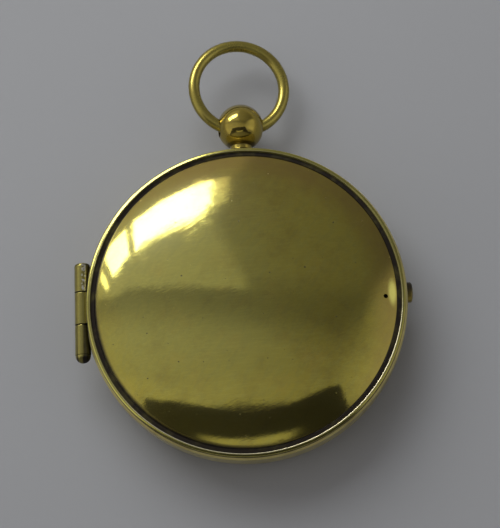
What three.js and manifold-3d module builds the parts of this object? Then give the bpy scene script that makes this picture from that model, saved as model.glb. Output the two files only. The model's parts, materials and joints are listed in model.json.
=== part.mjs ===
// Military pocket compass: a brass hunter case with a hinged lid, a bow, a push catch,
// and a magnetic needle that the closing lid lifts off its pivot.
// Millimetres, +Z up. The origin is on the case's axis, on the flat of its base.
// +Y points to the pendant, -X to the hinge and +X to the catch. The lid is shut.

import * as THREE from 'three';
import { mergeVertices } from 'three/addons/utils/BufferGeometryUtils.js';
import loadManifold from 'manifold-3d';

// Case body, a turned cup
const caseRadius = 22.1;
const wallThickness = 1.6;
const backRounding = 5.2;
const uprightWallHeight = 1.55;
const lipRollHeight = 0.35;
const lipChamfer = 0.12;
const floorThickness = 0.9;
const cellarHeight = 2.2;
const dialLedgeWidth = 1.2;
const cellarCornerWidth = 1.7;
const cellarCornerHeight = 0.8;
const mouthStep = 0.4;
const mouthRise = 0.85;

// Lid, a pressed dome held in a turned rim ring
const lidInset = 0.35;
const lipShow = 0.1;
const seamGap = 0.05;
const rimHeight = 0.6;
const innerBeadRadius = 0.125;
const outerBeadRadius = 0.1;
const rimEdgeChamfer = 0.1;
const gutterWidth = 0.65;
const gutterDepth = 0.35;
const skirtThickness = 0.45;
const skirtDepth = 1;
const skirtClearance = 0.15;
const skirtHingeGapShare = 1.02;
const ledgeWidth = 0.3;
const ledgeThickness = 0.2;
const shellThickness = 0.5;
const shellEdgeHeight = 0.55;
const crownRadius = 62;
const shoulderRadius = 26.2;
const crownShare = 0.77;
const lidHoleRadius = 0.3;
const lidHoleInset = 1.58;
const lidHoleOffset = -0.65;

// Hinge on the -X side
const barrelRadius = 1.1;
const barrelLetIn = 0.7;
const northKnuckleLength = 3.8;
const southKnuckleLength = 4.15;
const lidKnuckleLength = 4.5;
const knuckleGap = 0.1;
const hingePinRadius = 0.45;
const hingePinHeadRadius = 1.05;
const hingePinNorthHead = 0.4;
const hingePinSouthHead = 1.05;
const scallopClearance = 0.1;
const leafDrop = 0.6;
const leafReach = 1.6;

// Pendant and bow on the +Y side
const ballRadius = 3.3;
const ballOverhang = 4.04;
const pendantDrop = 3.85;
const neckRadius = 1.6;
const neckFootRadius = 2;
const neckFootHeight = 0.3;
const tenonRadius = 1.35;
const pendantTwist = THREE.MathUtils.degToRad(10.9);
const bowWireRadius = 0.8;
const bowRadius = 6.46;
const bowHoleClearance = 0.05;
const bowHoleOffset = -0.15;
const bowPlay = 0.084;

// Dial, glass and the rings that hold them
const dialThickness = 0.7;
const cardThickness = 0.25;
const spacerHeight = 2.3;
const spacerFootWidth = 2.5;
const cardClearance = 0.2;
const spacerLean = 0.8;
const spacerRimHeight = 0.3;
const glassSeatWidth = 0.3;
const glassThickness = 1;
const glassBevel = 0.35;
const bezelLipWidth = 0.5;
const bezelThickness = 0.25;
const bezelSkirtHeight = 0.6;
const bezelBevel = 0.5;
const bezelCrownInset = 0.35;
const dialScrewInset = 4.7;
const dialScrewBearing = THREE.MathUtils.degToRad(45);
const dialScrewRadius = 0.45;
const dialScrewHeadRadius = 0.95;
const dialScrewHeadHeight = 0.75;
const dialScrewDepth = 1.1;
const counterboreDepth = 0.45;
const pillarRadius = 1.3;

// Needle, its cap and its pivot
const needleInset = 2.5;
const needleThickness = 0.25;
const needleWaist = 1.2;
const northShaftHalfWidth = 0.4;
const arrowHalfWidth = 1.5;
const arrowLength = 5;
const southHalfWidth = 0.5;
const capFlangeRadius = 1.2;
const capFlangeHeight = 0.12;
const capHubRadius = 0.75;
const capHeight = 0.73;
const capBoreRadius = 0.5;
const capRoofThickness = 0.18;
const capHeadroom = 0.07;
const jewelCupRadius = 0.36;
const jewelCupDepth = 0.42;
const pivotRadius = 0.45;
const pivotTipRadius = 0.04;
const pivotPointHeight = 1;
const pivotSeatDepth = 0.45;
const pivotTouch = 0.06;
const weightReachShare = 0.56;
const weightLength = 1.4;
const weightWall = 0.3;

// Needle lift: lock pin, lever and collar
const needleLift = 0.5;
const pinTravel = 0.8;
const leverBearing = THREE.MathUtils.degToRad(-45);
const leverThickness = 0.4;
const leverHalfWidth = 0.8;
const leverRideHeight = 0.75;
const leverEndClearance = 0.15;
const forkHalfWidth = 1.5;
const forkReach = 1.4;
const forkShoulder = 3.2;
const leverBossRadius = 0.65;
const axleRadius = 0.3;
const axleHeadRoom = 0.1;
const bracketWall = 0.4;
const bracketBase = 0.2;
const bracketLength = 1.6;
const bracketHeadRoom = 0.55;
const collarWall = 0.4;
const collarFlangeRadius = 1.45;
const collarFlangeHeight = 0.25;
const pinInset = 1.55;
const pinRadius = 0.35;
const pinFlangeRadius = 0.6;
const pinFlangeHeight = 0.2;
const springCoilRadius = 0.55;
const springWireRadius = 0.1;
const springHeight = 1.05;
const springTurns = 3;
const springWellRadius = 0.75;

// Catch on the +X side
const catchOffset = 0.6;
const buttonRadius = 1.4;
const buttonShow = 0.85;
const buttonDome = 0.4;
const buttonFlangeRadius = 1.6;
const buttonFlangeThickness = 0.25;
const buttonHeightAboveDial = 1.7;
const pocketDepth = 1.7;
const pocketFrom = THREE.MathUtils.degToRad(-30);
const pocketTo = THREE.MathUtils.degToRad(9);
const leafThickness = 0.35;
const leafInset = 0.65;
const leafFootGap = 0.7;
const leafHeight = 2.3;
const leafFrom = THREE.MathUtils.degToRad(-23.2);
const leafTo = THREE.MathUtils.degToRad(6.5);
const footFrom = THREE.MathUtils.degToRad(-28.5);
const footTo = THREE.MathUtils.degToRad(-22.5);
const footInset = 0.3;
const footWidth = 1.1;
const footHeight = 1.4;
const hookWidth = 1.6;
const hookBite = 0.25;
const hookThickness = 0.22;
const windowMargin = 0.3;
const windowDrop = 0.15;
const windowHeight = 0.3;
const catchScrewRadius = 0.35;
const catchScrewHeadRadius = 0.6;
const catchScrewHeadHeight = 0.35;
const catchScrewDepth = 1;

// Clearances
const seatGap = 0.05;
const runGap = 0.1;
const axleGap = 0.06;
const overrun = 1;
const weldDistance = 0.001;

// Facet counts
const caseSteps = 54;
const smallSteps = 20;
const fineSteps = 12;
const arcSteps = 4;
const beadSteps = 3;
const sectorSteps = 4;
const ballSteps = 12;
const pendantSteps = 16;
const backSteps = 7;
const crownSteps = 4;
const bowSteps = 44;
const bowSides = 10;
const springStepsPerTurn = 8;
const springSides = 6;

// Heights worked out from the stack, from the base up
const dialSeatZ = floorThickness + cellarHeight;
const dialTopZ = dialSeatZ + dialThickness;
const cardTopZ = dialTopZ + cardThickness;
const spacerTopZ = dialTopZ + spacerHeight;
const glassTopZ = spacerTopZ + glassThickness;
const bezelTopZ = glassTopZ + bezelThickness;
const lipZ = glassTopZ + mouthRise;
const rimBottomZ = lipZ + seamGap;
const rimTopZ = rimBottomZ + rimHeight;
const gutterZ = rimTopZ - gutterDepth;
const skirtBottomZ = rimBottomZ - skirtDepth;
const mouthFloorZ = skirtBottomZ - runGap;
const shellSeatZ = gutterZ - shellEdgeHeight;
const pendantZ = rimTopZ - pendantDrop;
const hingeZ = lipZ - barrelRadius;
const capBottomZ = spacerTopZ - capHeadroom - capHeight;
const capFlangeTopZ = capBottomZ + capFlangeHeight;
const jewelApexZ = capBottomZ + jewelCupDepth;
const pivotTipZ = jewelApexZ - needleLift - pivotTouch;
const leverBottomZ = floorThickness + leverRideHeight;
const leverTopZ = leverBottomZ + leverThickness;
const fulcrumZ = leverBottomZ + leverThickness / 2;
const buttonZ = dialTopZ + buttonHeightAboveDial;

// Radii worked out from the case inwards
const boreRadius = caseRadius - wallThickness;
const mouthRadius = boreRadius + mouthStep;
const cellarRadius = boreRadius - dialLedgeWidth;
const baseFlatRadius = caseRadius - backRounding;
const rimRadius = caseRadius - lidInset;
const lipOuterRadius = rimRadius + lipShow;
const rimWidth = 2 * (innerBeadRadius + outerBeadRadius);
const rimInnerRadius = rimRadius - rimWidth;
const domeRadius = rimInnerRadius - gutterWidth;
const skirtOuterRadius = mouthRadius - skirtClearance;
const skirtInnerRadius = skirtOuterRadius - skirtThickness;
const ringRadius = boreRadius - runGap;
const pocketRadius = ringRadius - pocketDepth;
const leafOuterRadius = boreRadius - leafInset;
const leafInnerRadius = leafOuterRadius - leafThickness;
const spacerInnerRadius = ringRadius - spacerFootWidth;
const cardRadius = spacerInnerRadius - cardClearance;
const glassSeatRadius = spacerInnerRadius - spacerLean;
const glassRadius = glassSeatRadius + glassSeatWidth;
const glassBoreRadius = glassRadius + runGap;
const bezelInnerRadius = glassRadius - bezelLipWidth;
const hingeX = -(caseRadius + barrelRadius - barrelLetIn);
const knuckleStart = lidKnuckleLength / 2 + knuckleGap;
const northKnuckleEnd = knuckleStart + northKnuckleLength;
const southKnuckleEnd = knuckleStart + southKnuckleLength;
const ballY = caseRadius + ballOverhang;
const bowAxisY = ballY + bowHoleOffset;
const bowSag = bowRadius - Math.sqrt(bowRadius ** 2 - ballRadius ** 2);
const bowHoleRadius = bowWireRadius + bowSag / 2 + bowHoleClearance;
const bowReach = bowRadius - bowSag / 2 + bowPlay;
const lidHoleReach = domeRadius - lidHoleInset;
const dialScrewReach = cardRadius - dialScrewInset;
const needleHalfLength = cardRadius - needleInset;
const weightReach = needleHalfLength * weightReachShare;
const pinReach = ringRadius - pinInset;
const fulcrumReach = (pinReach * needleLift) / (needleLift + pinTravel);

const wasm = await loadManifold();
wasm.setup();

// Merges equal corners and drops the triangles that this leaves without area
function weld(geometry) {
  const plain = geometry.clone();
  plain.deleteAttribute('normal');
  plain.deleteAttribute('uv');
  const merged = mergeVertices(plain, weldDistance);
  const corners = merged.index.array;
  const kept = [];
  for (let i = 0; i < corners.length; i += 3) {
    const [a, b, c] = [corners[i], corners[i + 1], corners[i + 2]];
    if (a !== b && b !== c && c !== a) kept.push(a, b, c);
  }
  merged.setIndex(kept);
  return merged;
}

function toSolid(geometry) {
  const welded = weld(geometry);
  return new wasm.Manifold(new wasm.Mesh({
    numProp: 3,
    vertProperties: new Float32Array(welded.attributes.position.array),
    triVerts: new Uint32Array(welded.index.array),
  }));
}

function toGeometry(solid) {
  const mesh = solid.getMesh();
  const geometry = new THREE.BufferGeometry();
  geometry.setAttribute('position', new THREE.BufferAttribute(mesh.vertProperties, mesh.numProp));
  geometry.setIndex(new THREE.BufferAttribute(mesh.triVerts, 1));
  geometry.computeVertexNormals();
  return geometry;
}

function join(...pieces) {
  const [first, ...others] = pieces.map(toSolid);
  return toGeometry(others.reduce((whole, piece) => whole.add(piece), first));
}

function cut(body, ...tools) {
  return toGeometry(tools.reduce((rest, tool) => rest.subtract(toSolid(tool)), toSolid(body)));
}

// Turns an outline of [radius, height] points, outer side upwards, about the Z axis
function revolve(outline, steps) {
  const points = outline.map(([radius, height]) => new THREE.Vector2(radius, height));
  const closesOnAxis = outline[0][0] === 0;
  if (!closesOnAxis) points.push(points[0].clone());
  return new THREE.LatheGeometry(points, steps).rotateX(Math.PI / 2);
}

const alongX = (geometry) => geometry.rotateY(Math.PI / 2);
const alongY = (geometry) => geometry.rotateX(-Math.PI / 2);

function disc(radius, bottom, top, steps) {
  return revolve([[0, bottom], [radius, bottom], [radius, top], [0, top]], steps);
}

function arc(centreRadius, centreHeight, radius, from, to, steps) {
  const points = [];
  for (let i = 0; i <= steps; i += 1) {
    const angle = from + ((to - from) * i) / steps;
    points.push([centreRadius + radius * Math.cos(angle), centreHeight + radius * Math.sin(angle)]);
  }
  return points;
}

function extrude(shape, bottom, top, curveSegments = fineSteps) {
  const options = { depth: top - bottom, bevelEnabled: false, curveSegments };
  return new THREE.ExtrudeGeometry(shape, options).translate(0, 0, bottom);
}

// Carries a shape drawn in X and Z along Y
function extrudeAlongY(shape, from, to) {
  return extrude(shape, 0, to - from).rotateX(Math.PI / 2).translate(0, to, 0);
}

function polygon(points) {
  return new THREE.Shape(points.map(([x, y]) => new THREE.Vector2(x, y)));
}

function rectangle(left, right, bottom, top) {
  return polygon([[left, bottom], [right, bottom], [right, top], [left, top]]);
}

function box(left, right, front, back, bottom, top) {
  return extrude(rectangle(left, right, front, back), bottom, top);
}

// A piece of a ring between two bearings
function ringSector(inner, outer, from, to, bottom, top) {
  const shape = new THREE.Shape();
  shape.absarc(0, 0, outer, from, to, false);
  shape.absarc(0, 0, inner, to, from, true);
  return extrude(shape, bottom, top, sectorSteps);
}

function atBearing(geometry, reach, bearing) {
  return geometry.translate(reach * Math.cos(bearing), reach * Math.sin(bearing), 0);
}

const finishes = {
  polishedBrass: { color: 0xa8923c, roughness: 0.22, metalness: 1 },
  agedBrass: { color: 0x8a7a3a, roughness: 0.38, metalness: 1 },
  steel: { color: 0x8c8e90, roughness: 0.3, metalness: 1 },
  bluedSteel: { color: 0x1b2748, roughness: 0.3, metalness: 1 },
  card: { color: 0xe8e2cf, roughness: 0.8, metalness: 0 },
  glass: { color: 0xdfe8e6, roughness: 0.05, metalness: 0, transparent: true, opacity: 0.35 },
  agate: { color: 0x7a3b25, roughness: 0.2, metalness: 0 },
};

function piece(name, geometry, finish) {
  const mesh = new THREE.Mesh(geometry, new THREE.MeshStandardMaterial(finishes[finish]));
  mesh.name = name;
  return mesh;
}

// Case body: turned cup, let in for the hinge, drilled for the pendant and the catch

function caseBody() {
  const wallFootZ = lipZ - uprightWallHeight;
  const outline = [[0, 0], [baseFlatRadius, 0]];
  for (let i = 1; i <= backSteps; i += 1) {
    const angle = ((i / backSteps) * Math.PI) / 2;
    outline.push([
      baseFlatRadius + backRounding * Math.sin(angle),
      wallFootZ * (1 - Math.cos(angle)),
    ]);
  }
  outline.push(
    [caseRadius, lipZ - lipRollHeight],
    [lipOuterRadius, lipZ - lipChamfer],
    [lipOuterRadius - lipChamfer, lipZ],
    [mouthRadius + lipChamfer, lipZ],
    [mouthRadius, lipZ - lipChamfer],
    [mouthRadius, mouthFloorZ],
    [boreRadius, mouthFloorZ],
    [boreRadius, dialSeatZ],
    [cellarRadius, dialSeatZ],
    [cellarRadius, floorThickness + cellarCornerHeight],
    [cellarRadius - cellarCornerWidth, floorThickness],
    [0, floorThickness],
  );
  const cup = revolve(outline, caseSteps);

  const pillars = dialScrewBearings.map((bearing) => (
    atBearing(disc(pillarRadius, floorThickness / 2, dialSeatZ, smallSteps), dialScrewReach, bearing)
  ));
  const screwHoles = dialScrewBearings.map((bearing) => atBearing(
    disc(dialScrewRadius + runGap, dialSeatZ - dialScrewDepth - runGap, dialSeatZ + overrun, fineSteps),
    dialScrewReach,
    bearing,
  ));
  const catchScrewHole = atBearing(
    disc(catchScrewRadius + runGap, dialSeatZ - catchScrewDepth - runGap, dialSeatZ + overrun, fineSteps),
    catchScrewReach,
    catchScrewBearing,
  );
  const pivotSeat = disc(
    pivotRadius + seatGap,
    floorThickness - pivotSeatDepth - seatGap,
    floorThickness + overrun,
    fineSteps,
  );
  const scallop = alongY(disc(
    barrelRadius + scallopClearance,
    -southKnuckleEnd - hingePinSouthHead - scallopClearance,
    northKnuckleEnd + hingePinNorthHead + scallopClearance,
    smallSteps,
  )).translate(hingeX, 0, hingeZ);
  const leafNotch = box(
    hingeX,
    -boreRadius + runGap,
    -knuckleStart,
    knuckleStart,
    hingeZ + leafDrop - runGap,
    lipZ + overrun,
  );
  const pendantHole = alongY(disc(
    tenonRadius + runGap,
    boreRadius - overrun,
    caseRadius + overrun,
    smallSteps,
  )).translate(0, 0, pendantZ);
  const buttonHole = alongX(disc(
    buttonRadius + runGap,
    boreRadius - overrun,
    caseRadius + overrun,
    smallSteps,
  )).translate(0, catchOffset, buttonZ);
  return cut(
    join(cup, ...pillars),
    ...screwHoles,
    catchScrewHole,
    pivotSeat,
    scallop,
    leafNotch,
    pendantHole,
    buttonHole,
  );
}

// Hinge: three knuckles on one pin, the middle one with a leaf that carries the lid

function knuckle(from, to) {
  return disc(barrelRadius, from, to, smallSteps);
}

function hingeBore(from, to) {
  return disc(hingePinRadius + axleGap, from - overrun, to + overrun, fineSteps);
}

function caseKnuckle(from, to) {
  return alongY(cut(knuckle(from, to), hingeBore(from, to)));
}

function lidKnuckle() {
  const half = lidKnuckleLength / 2;
  const leaf = box(0, leafReach, -half, half, leafDrop, rimBottomZ - hingeZ);
  return cut(join(alongY(knuckle(-half, half)), leaf), alongY(hingeBore(-half, half)));
}

function hingePinHead(end, height) {
  const dome = arc(0, 0, 1, 0, Math.PI / 2, arcSteps).map(([across, up]) => (
    [across * hingePinHeadRadius, end + seatGap + up * height]
  ));
  dome[dome.length - 1][0] = 0;
  return [[hingePinRadius, end + seatGap], ...dome];
}

function hingePin() {
  const northHead = hingePinHead(northKnuckleEnd, hingePinNorthHead);
  const southHead = hingePinHead(southKnuckleEnd, hingePinSouthHead);
  const lower = southHead.map(([radius, height]) => [radius, -height]).reverse();
  return alongY(revolve([...lower, ...northHead], fineSteps));
}

// Pendant: ball, neck and tenon turned in one, with a cross hole for the bow

function pendant() {
  const neckAngle = Math.asin(neckRadius / ballRadius) - Math.PI / 2;
  const ball = arc(0, ballY, ballRadius, neckAngle, Math.PI / 2, ballSteps);
  ball[ball.length - 1][0] = 0;
  const footY = caseRadius + seatGap;
  const turned = alongY(revolve([
    [0, boreRadius + seatGap],
    [tenonRadius, boreRadius + seatGap],
    [tenonRadius, footY],
    [neckFootRadius, footY],
    [neckRadius, footY + neckFootHeight],
    ...ball,
  ], pendantSteps));
  const crossHole = alongX(disc(bowHoleRadius, -ballRadius - overrun, ballRadius + overrun, smallSteps))
    .rotateY(pendantTwist)
    .translate(0, bowAxisY, 0);
  return cut(turned, crossHole);
}

function bowRing() {
  return new THREE.TorusGeometry(bowRadius, bowWireRadius, bowSides, bowSteps)
    .translate(0, bowReach, 0);
}

// Lid: the dome's section is a wide crown arc that runs into a tighter shoulder arc

function domeSlopes() {
  const crownReach = domeRadius * crownShare;
  const shoulderStart = Math.asin(crownReach / crownRadius);
  const edge = Math.asin(Math.sin(shoulderStart) + (domeRadius - crownReach) / shoulderRadius);
  return { shoulderStart, edge };
}

function domePoint(slope, inset) {
  const { shoulderStart, edge } = domeSlopes();
  const crownHeight = crownRadius * (1 - Math.cos(shoulderStart));
  const shoulderHeight = shoulderRadius * (Math.cos(shoulderStart) - Math.cos(edge));
  const top = gutterZ + crownHeight + shoulderHeight;
  const bend = slope > shoulderStart ? shoulderRadius : crownRadius;
  const start = slope > shoulderStart ? shoulderStart : 0;
  const startRadius = slope > shoulderStart ? crownRadius * Math.sin(shoulderStart) : 0;
  const startDrop = slope > shoulderStart ? crownHeight : 0;
  return [
    startRadius + bend * (Math.sin(slope) - Math.sin(start)) - inset * Math.sin(slope),
    top - startDrop - bend * (Math.cos(start) - Math.cos(slope)) - inset * Math.cos(slope),
  ];
}

function domeArc(inset) {
  const { shoulderStart, edge } = domeSlopes();
  const slopes = [];
  for (let i = 0; i <= arcSteps; i += 1) slopes.push(edge + ((shoulderStart - edge) * i) / arcSteps);
  for (let i = 1; i <= crownSteps; i += 1) slopes.push(shoulderStart * (1 - i / crownSteps));
  return slopes.map((slope) => domePoint(slope, inset));
}

// Height of the lid's inner side over a radius within the shoulder
function undersideHeight(radius) {
  const { shoulderStart, edge } = domeSlopes();
  let [flatter, steeper] = [shoulderStart, edge];
  for (let i = 0; i < caseSteps; i += 1) {
    const middle = (flatter + steeper) / 2;
    if (domePoint(middle, shellThickness)[0] < radius) flatter = middle;
    else steeper = middle;
  }
  return domePoint(flatter, shellThickness)[1];
}

function lidShell() {
  const outer = domeArc(0);
  const inner = domeArc(shellThickness).reverse();
  const ledgeEdge = skirtInnerRadius - ledgeWidth + seatGap;
  const hole = disc(lidHoleRadius, shellSeatZ - overrun, rimTopZ + shoulderRadius / 2, fineSteps)
    .translate(lidHoleReach, lidHoleOffset, 0);
  const dome = revolve([
    ...inner,
    [ledgeEdge, shellSeatZ],
    [domeRadius, shellSeatZ],
    ...outer,
  ], caseSteps);
  return cut(dome, hole);
}

function lidRim() {
  const beadZ = rimTopZ - innerBeadRadius;
  const shellBore = domeRadius + seatGap;
  const ledgeInner = skirtInnerRadius - ledgeWidth;
  const ring = revolve([
    [skirtInnerRadius, skirtBottomZ],
    [skirtOuterRadius, skirtBottomZ],
    [skirtOuterRadius, rimBottomZ],
    [rimRadius - rimEdgeChamfer, rimBottomZ],
    [rimRadius, rimBottomZ + rimEdgeChamfer],
    ...arc(rimRadius - outerBeadRadius, beadZ, outerBeadRadius, 0, Math.PI, beadSteps),
    ...arc(rimInnerRadius + innerBeadRadius, beadZ, innerBeadRadius, 0, Math.PI, beadSteps).slice(1),
    [rimInnerRadius, gutterZ],
    [shellBore, gutterZ],
    [shellBore, shellSeatZ],
    [ledgeInner, shellSeatZ],
    [ledgeInner, shellSeatZ - ledgeThickness],
    [skirtInnerRadius, shellSeatZ - ledgeThickness],
  ], caseSteps);
  const gapHalfWidth = (boreRadius * skirtHingeGapShare) / 2;
  const hingeGap = box(
    -rimRadius,
    -boreRadius / 2,
    -gapHalfWidth,
    gapHalfWidth,
    skirtBottomZ - overrun,
    rimBottomZ,
  );
  const windowHalf = hookWidth / 2 + windowMargin;
  const windowBottom = skirtBottomZ + windowDrop;
  const window = box(
    skirtInnerRadius - overrun,
    skirtOuterRadius + overrun,
    catchOffset - windowHalf,
    catchOffset + windowHalf,
    windowBottom,
    windowBottom + windowHeight,
  );
  return cut(ring, hingeGap, window);
}

// Dial and glass

const dialScrewBearings = [dialScrewBearing, dialScrewBearing + Math.PI];
const catchScrewBearing = (footFrom + footTo) / 2;
const catchScrewReach = boreRadius - footInset - footWidth / 2;
const pinBearing = leverBearing;
const collarRadius = pivotRadius + runGap + collarWall;

function dialPlate() {
  const plate = disc(ringRadius, dialSeatZ, dialTopZ, caseSteps);
  const collarHole = disc(collarRadius + runGap, dialSeatZ - overrun, dialTopZ + overrun, smallSteps);
  const pinHole = atBearing(
    disc(pinRadius + runGap, dialSeatZ - overrun, dialTopZ + overrun, fineSteps),
    pinReach,
    pinBearing,
  );
  const catchScrewHole = atBearing(
    disc(catchScrewRadius + runGap, dialSeatZ - overrun, dialTopZ + overrun, fineSteps),
    catchScrewReach,
    catchScrewBearing,
  );
  const screwHoles = dialScrewBearings.flatMap((bearing) => [
    atBearing(
      disc(dialScrewRadius + runGap, dialSeatZ - overrun, dialTopZ, fineSteps),
      dialScrewReach,
      bearing,
    ),
    atBearing(
      disc(dialScrewHeadRadius + runGap, dialTopZ - counterboreDepth, dialTopZ + overrun, smallSteps),
      dialScrewReach,
      bearing,
    ),
  ]);
  return cut(plate, collarHole, pinHole, catchScrewHole, ...screwHoles);
}

function dialCard() {
  const card = disc(cardRadius, dialTopZ, cardTopZ, caseSteps);
  const collarHole = disc(collarRadius + runGap, dialTopZ - overrun, cardTopZ + overrun, smallSteps);
  const screwHoles = dialScrewBearings.map((bearing) => atBearing(
    disc(dialScrewHeadRadius + runGap, dialTopZ - overrun, cardTopZ + overrun, smallSteps),
    dialScrewReach,
    bearing,
  ));
  return cut(card, collarHole, ...screwHoles);
}

// A cheese-head screw standing along Z
function screw(radius, headRadius, bottom, headBottom, headHeight) {
  return revolve([
    [0, bottom],
    [radius, bottom],
    [radius, headBottom],
    [headRadius, headBottom],
    [headRadius, headBottom + headHeight],
    [0, headBottom + headHeight],
  ], fineSteps);
}

function dialScrew(bearing) {
  return atBearing(screw(
    dialScrewRadius,
    dialScrewHeadRadius,
    dialSeatZ - dialScrewDepth,
    dialTopZ - counterboreDepth,
    dialScrewHeadHeight,
  ), dialScrewReach, bearing);
}

function catchPocket() {
  return ringSector(
    pocketRadius,
    boreRadius + overrun,
    pocketFrom,
    pocketTo,
    dialTopZ - overrun,
    bezelTopZ + overrun,
  );
}

function spacerRing() {
  const ring = revolve([
    [spacerInnerRadius, dialTopZ],
    [ringRadius, dialTopZ],
    [ringRadius, spacerTopZ],
    [glassSeatRadius, spacerTopZ],
    [glassSeatRadius, spacerTopZ - spacerRimHeight],
    [spacerInnerRadius, dialTopZ + spacerRimHeight],
  ], caseSteps);
  const springWell = atBearing(
    disc(springWellRadius, dialTopZ - overrun, spacerTopZ + overrun, smallSteps),
    pinReach,
    pinBearing,
  );
  return cut(ring, catchPocket(), springWell);
}

function glass() {
  return revolve([
    [0, spacerTopZ],
    [glassRadius, spacerTopZ],
    [glassRadius, glassTopZ],
    [bezelInnerRadius, glassTopZ],
    [bezelInnerRadius - glassBevel, glassTopZ + glassBevel / 2],
    [0, glassTopZ + glassBevel / 2],
  ], caseSteps);
}

function glassBezel() {
  const shoulderZ = spacerTopZ + bezelSkirtHeight;
  const ring = revolve([
    [glassBoreRadius, spacerTopZ],
    [ringRadius, spacerTopZ],
    [ringRadius, shoulderZ],
    [ringRadius - bezelBevel, shoulderZ + bezelBevel],
    [ringRadius - bezelBevel - bezelCrownInset, bezelTopZ],
    [bezelInnerRadius + bezelCrownInset, bezelTopZ],
    [bezelInnerRadius, glassTopZ + bezelThickness / 2],
    [bezelInnerRadius, glassTopZ],
    [glassBoreRadius, glassTopZ],
  ], caseSteps);
  const pinHole = atBearing(
    disc(pinRadius + runGap, spacerTopZ - overrun, bezelTopZ + overrun, fineSteps),
    pinReach,
    pinBearing,
  );
  return cut(ring, catchPocket(), pinHole);
}

// Needle with an arrow at its north end, its cap, jewel and sliding weight

function needle() {
  const arrowBase = needleHalfLength - arrowLength;
  const shape = polygon([
    [0, needleHalfLength],
    [-arrowHalfWidth, arrowBase],
    [-northShaftHalfWidth, arrowBase],
    [-needleWaist, needleWaist],
    [-needleWaist, -needleWaist],
    [-southHalfWidth, -needleHalfLength],
    [southHalfWidth, -needleHalfLength],
    [needleWaist, -needleWaist],
    [needleWaist, needleWaist],
    [northShaftHalfWidth, arrowBase],
    [arrowHalfWidth, arrowBase],
  ]);
  const bar = extrude(shape, capFlangeTopZ, capFlangeTopZ + needleThickness);
  const hole = disc(capHubRadius + seatGap, capFlangeTopZ - overrun, capFlangeTopZ + overrun, smallSteps);
  return cut(bar, hole);
}

function needleCap() {
  const topZ = capBottomZ + capHeight;
  const roofZ = topZ - capRoofThickness;
  return revolve([
    [0, roofZ],
    [capBoreRadius, roofZ],
    [capBoreRadius, capBottomZ],
    [capFlangeRadius, capBottomZ],
    [capFlangeRadius, capFlangeTopZ],
    [capHubRadius, capFlangeTopZ],
    [capHubRadius, roofZ],
    [capBoreRadius, topZ],
    [0, topZ],
  ], smallSteps);
}

function needleJewel() {
  const jewelRadius = capBoreRadius - seatGap;
  const jewelTop = capBottomZ + capHeight - capRoofThickness - seatGap / 2;
  return revolve([
    [0, jewelApexZ],
    [jewelCupRadius, capBottomZ],
    [jewelRadius, capBottomZ],
    [jewelRadius, jewelTop],
    [0, jewelTop],
  ], fineSteps);
}

function needleWeight() {
  const taper = (weightReach - needleWaist) / (needleHalfLength - needleWaist);
  const armHalfWidth = needleWaist + (southHalfWidth - needleWaist) * taper;
  const inner = armHalfWidth + runGap;
  const innerBottom = capFlangeTopZ - seatGap;
  const innerTop = capFlangeTopZ + needleThickness + seatGap;
  const sleeve = rectangle(
    -inner - weightWall,
    inner + weightWall,
    innerBottom - weightWall / 2,
    innerTop + weightWall / 2,
  );
  sleeve.holes.push(rectangle(-inner, inner, innerBottom, innerTop));
  return extrudeAlongY(sleeve, -weightReach - weightLength / 2, -weightReach + weightLength / 2);
}

function pivotPost() {
  return revolve([
    [0, floorThickness - pivotSeatDepth],
    [pivotRadius, floorThickness - pivotSeatDepth],
    [pivotRadius, pivotTipZ - pivotPointHeight],
    [pivotTipRadius, pivotTipZ],
    [0, pivotTipZ],
  ], fineSteps);
}

// Needle lift, drawn along +X and then turned to the lever's bearing

function liftCollar() {
  const innerRadius = pivotRadius + runGap;
  const bottomZ = leverTopZ + 2 * axleGap;
  return revolve([
    [innerRadius, bottomZ],
    [collarFlangeRadius, bottomZ],
    [collarFlangeRadius, bottomZ + collarFlangeHeight],
    [collarRadius, bottomZ + collarFlangeHeight],
    [collarRadius, capBottomZ - seatGap],
    [innerRadius, capBottomZ - seatGap],
  ], smallSteps);
}

function liftLever() {
  const tipCentre = cellarRadius - leverEndClearance - leverHalfWidth;
  const slot = collarRadius - seatGap - runGap;
  const shape = new THREE.Shape();
  shape.moveTo(-forkReach, slot);
  shape.lineTo(0, slot);
  shape.absarc(0, 0, slot, Math.PI / 2, -Math.PI / 2, true);
  shape.lineTo(-forkReach, -slot);
  shape.lineTo(-forkReach, -forkHalfWidth);
  shape.lineTo(forkReach, -forkHalfWidth);
  shape.lineTo(forkShoulder, -leverHalfWidth);
  shape.absarc(tipCentre, 0, leverHalfWidth, -Math.PI / 2, Math.PI / 2, false);
  shape.lineTo(forkShoulder, leverHalfWidth);
  shape.lineTo(forkReach, forkHalfWidth);
  shape.lineTo(-forkReach, forkHalfWidth);
  const arm = extrude(shape, leverBottomZ, leverTopZ, sectorSteps);
  const boss = alongY(disc(leverBossRadius, -leverHalfWidth, leverHalfWidth, smallSteps))
    .translate(fulcrumReach, 0, fulcrumZ);
  const bore = alongY(disc(axleRadius + axleGap, -forkHalfWidth, forkHalfWidth, fineSteps))
    .translate(fulcrumReach, 0, fulcrumZ);
  return cut(join(arm, boss), bore);
}

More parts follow.
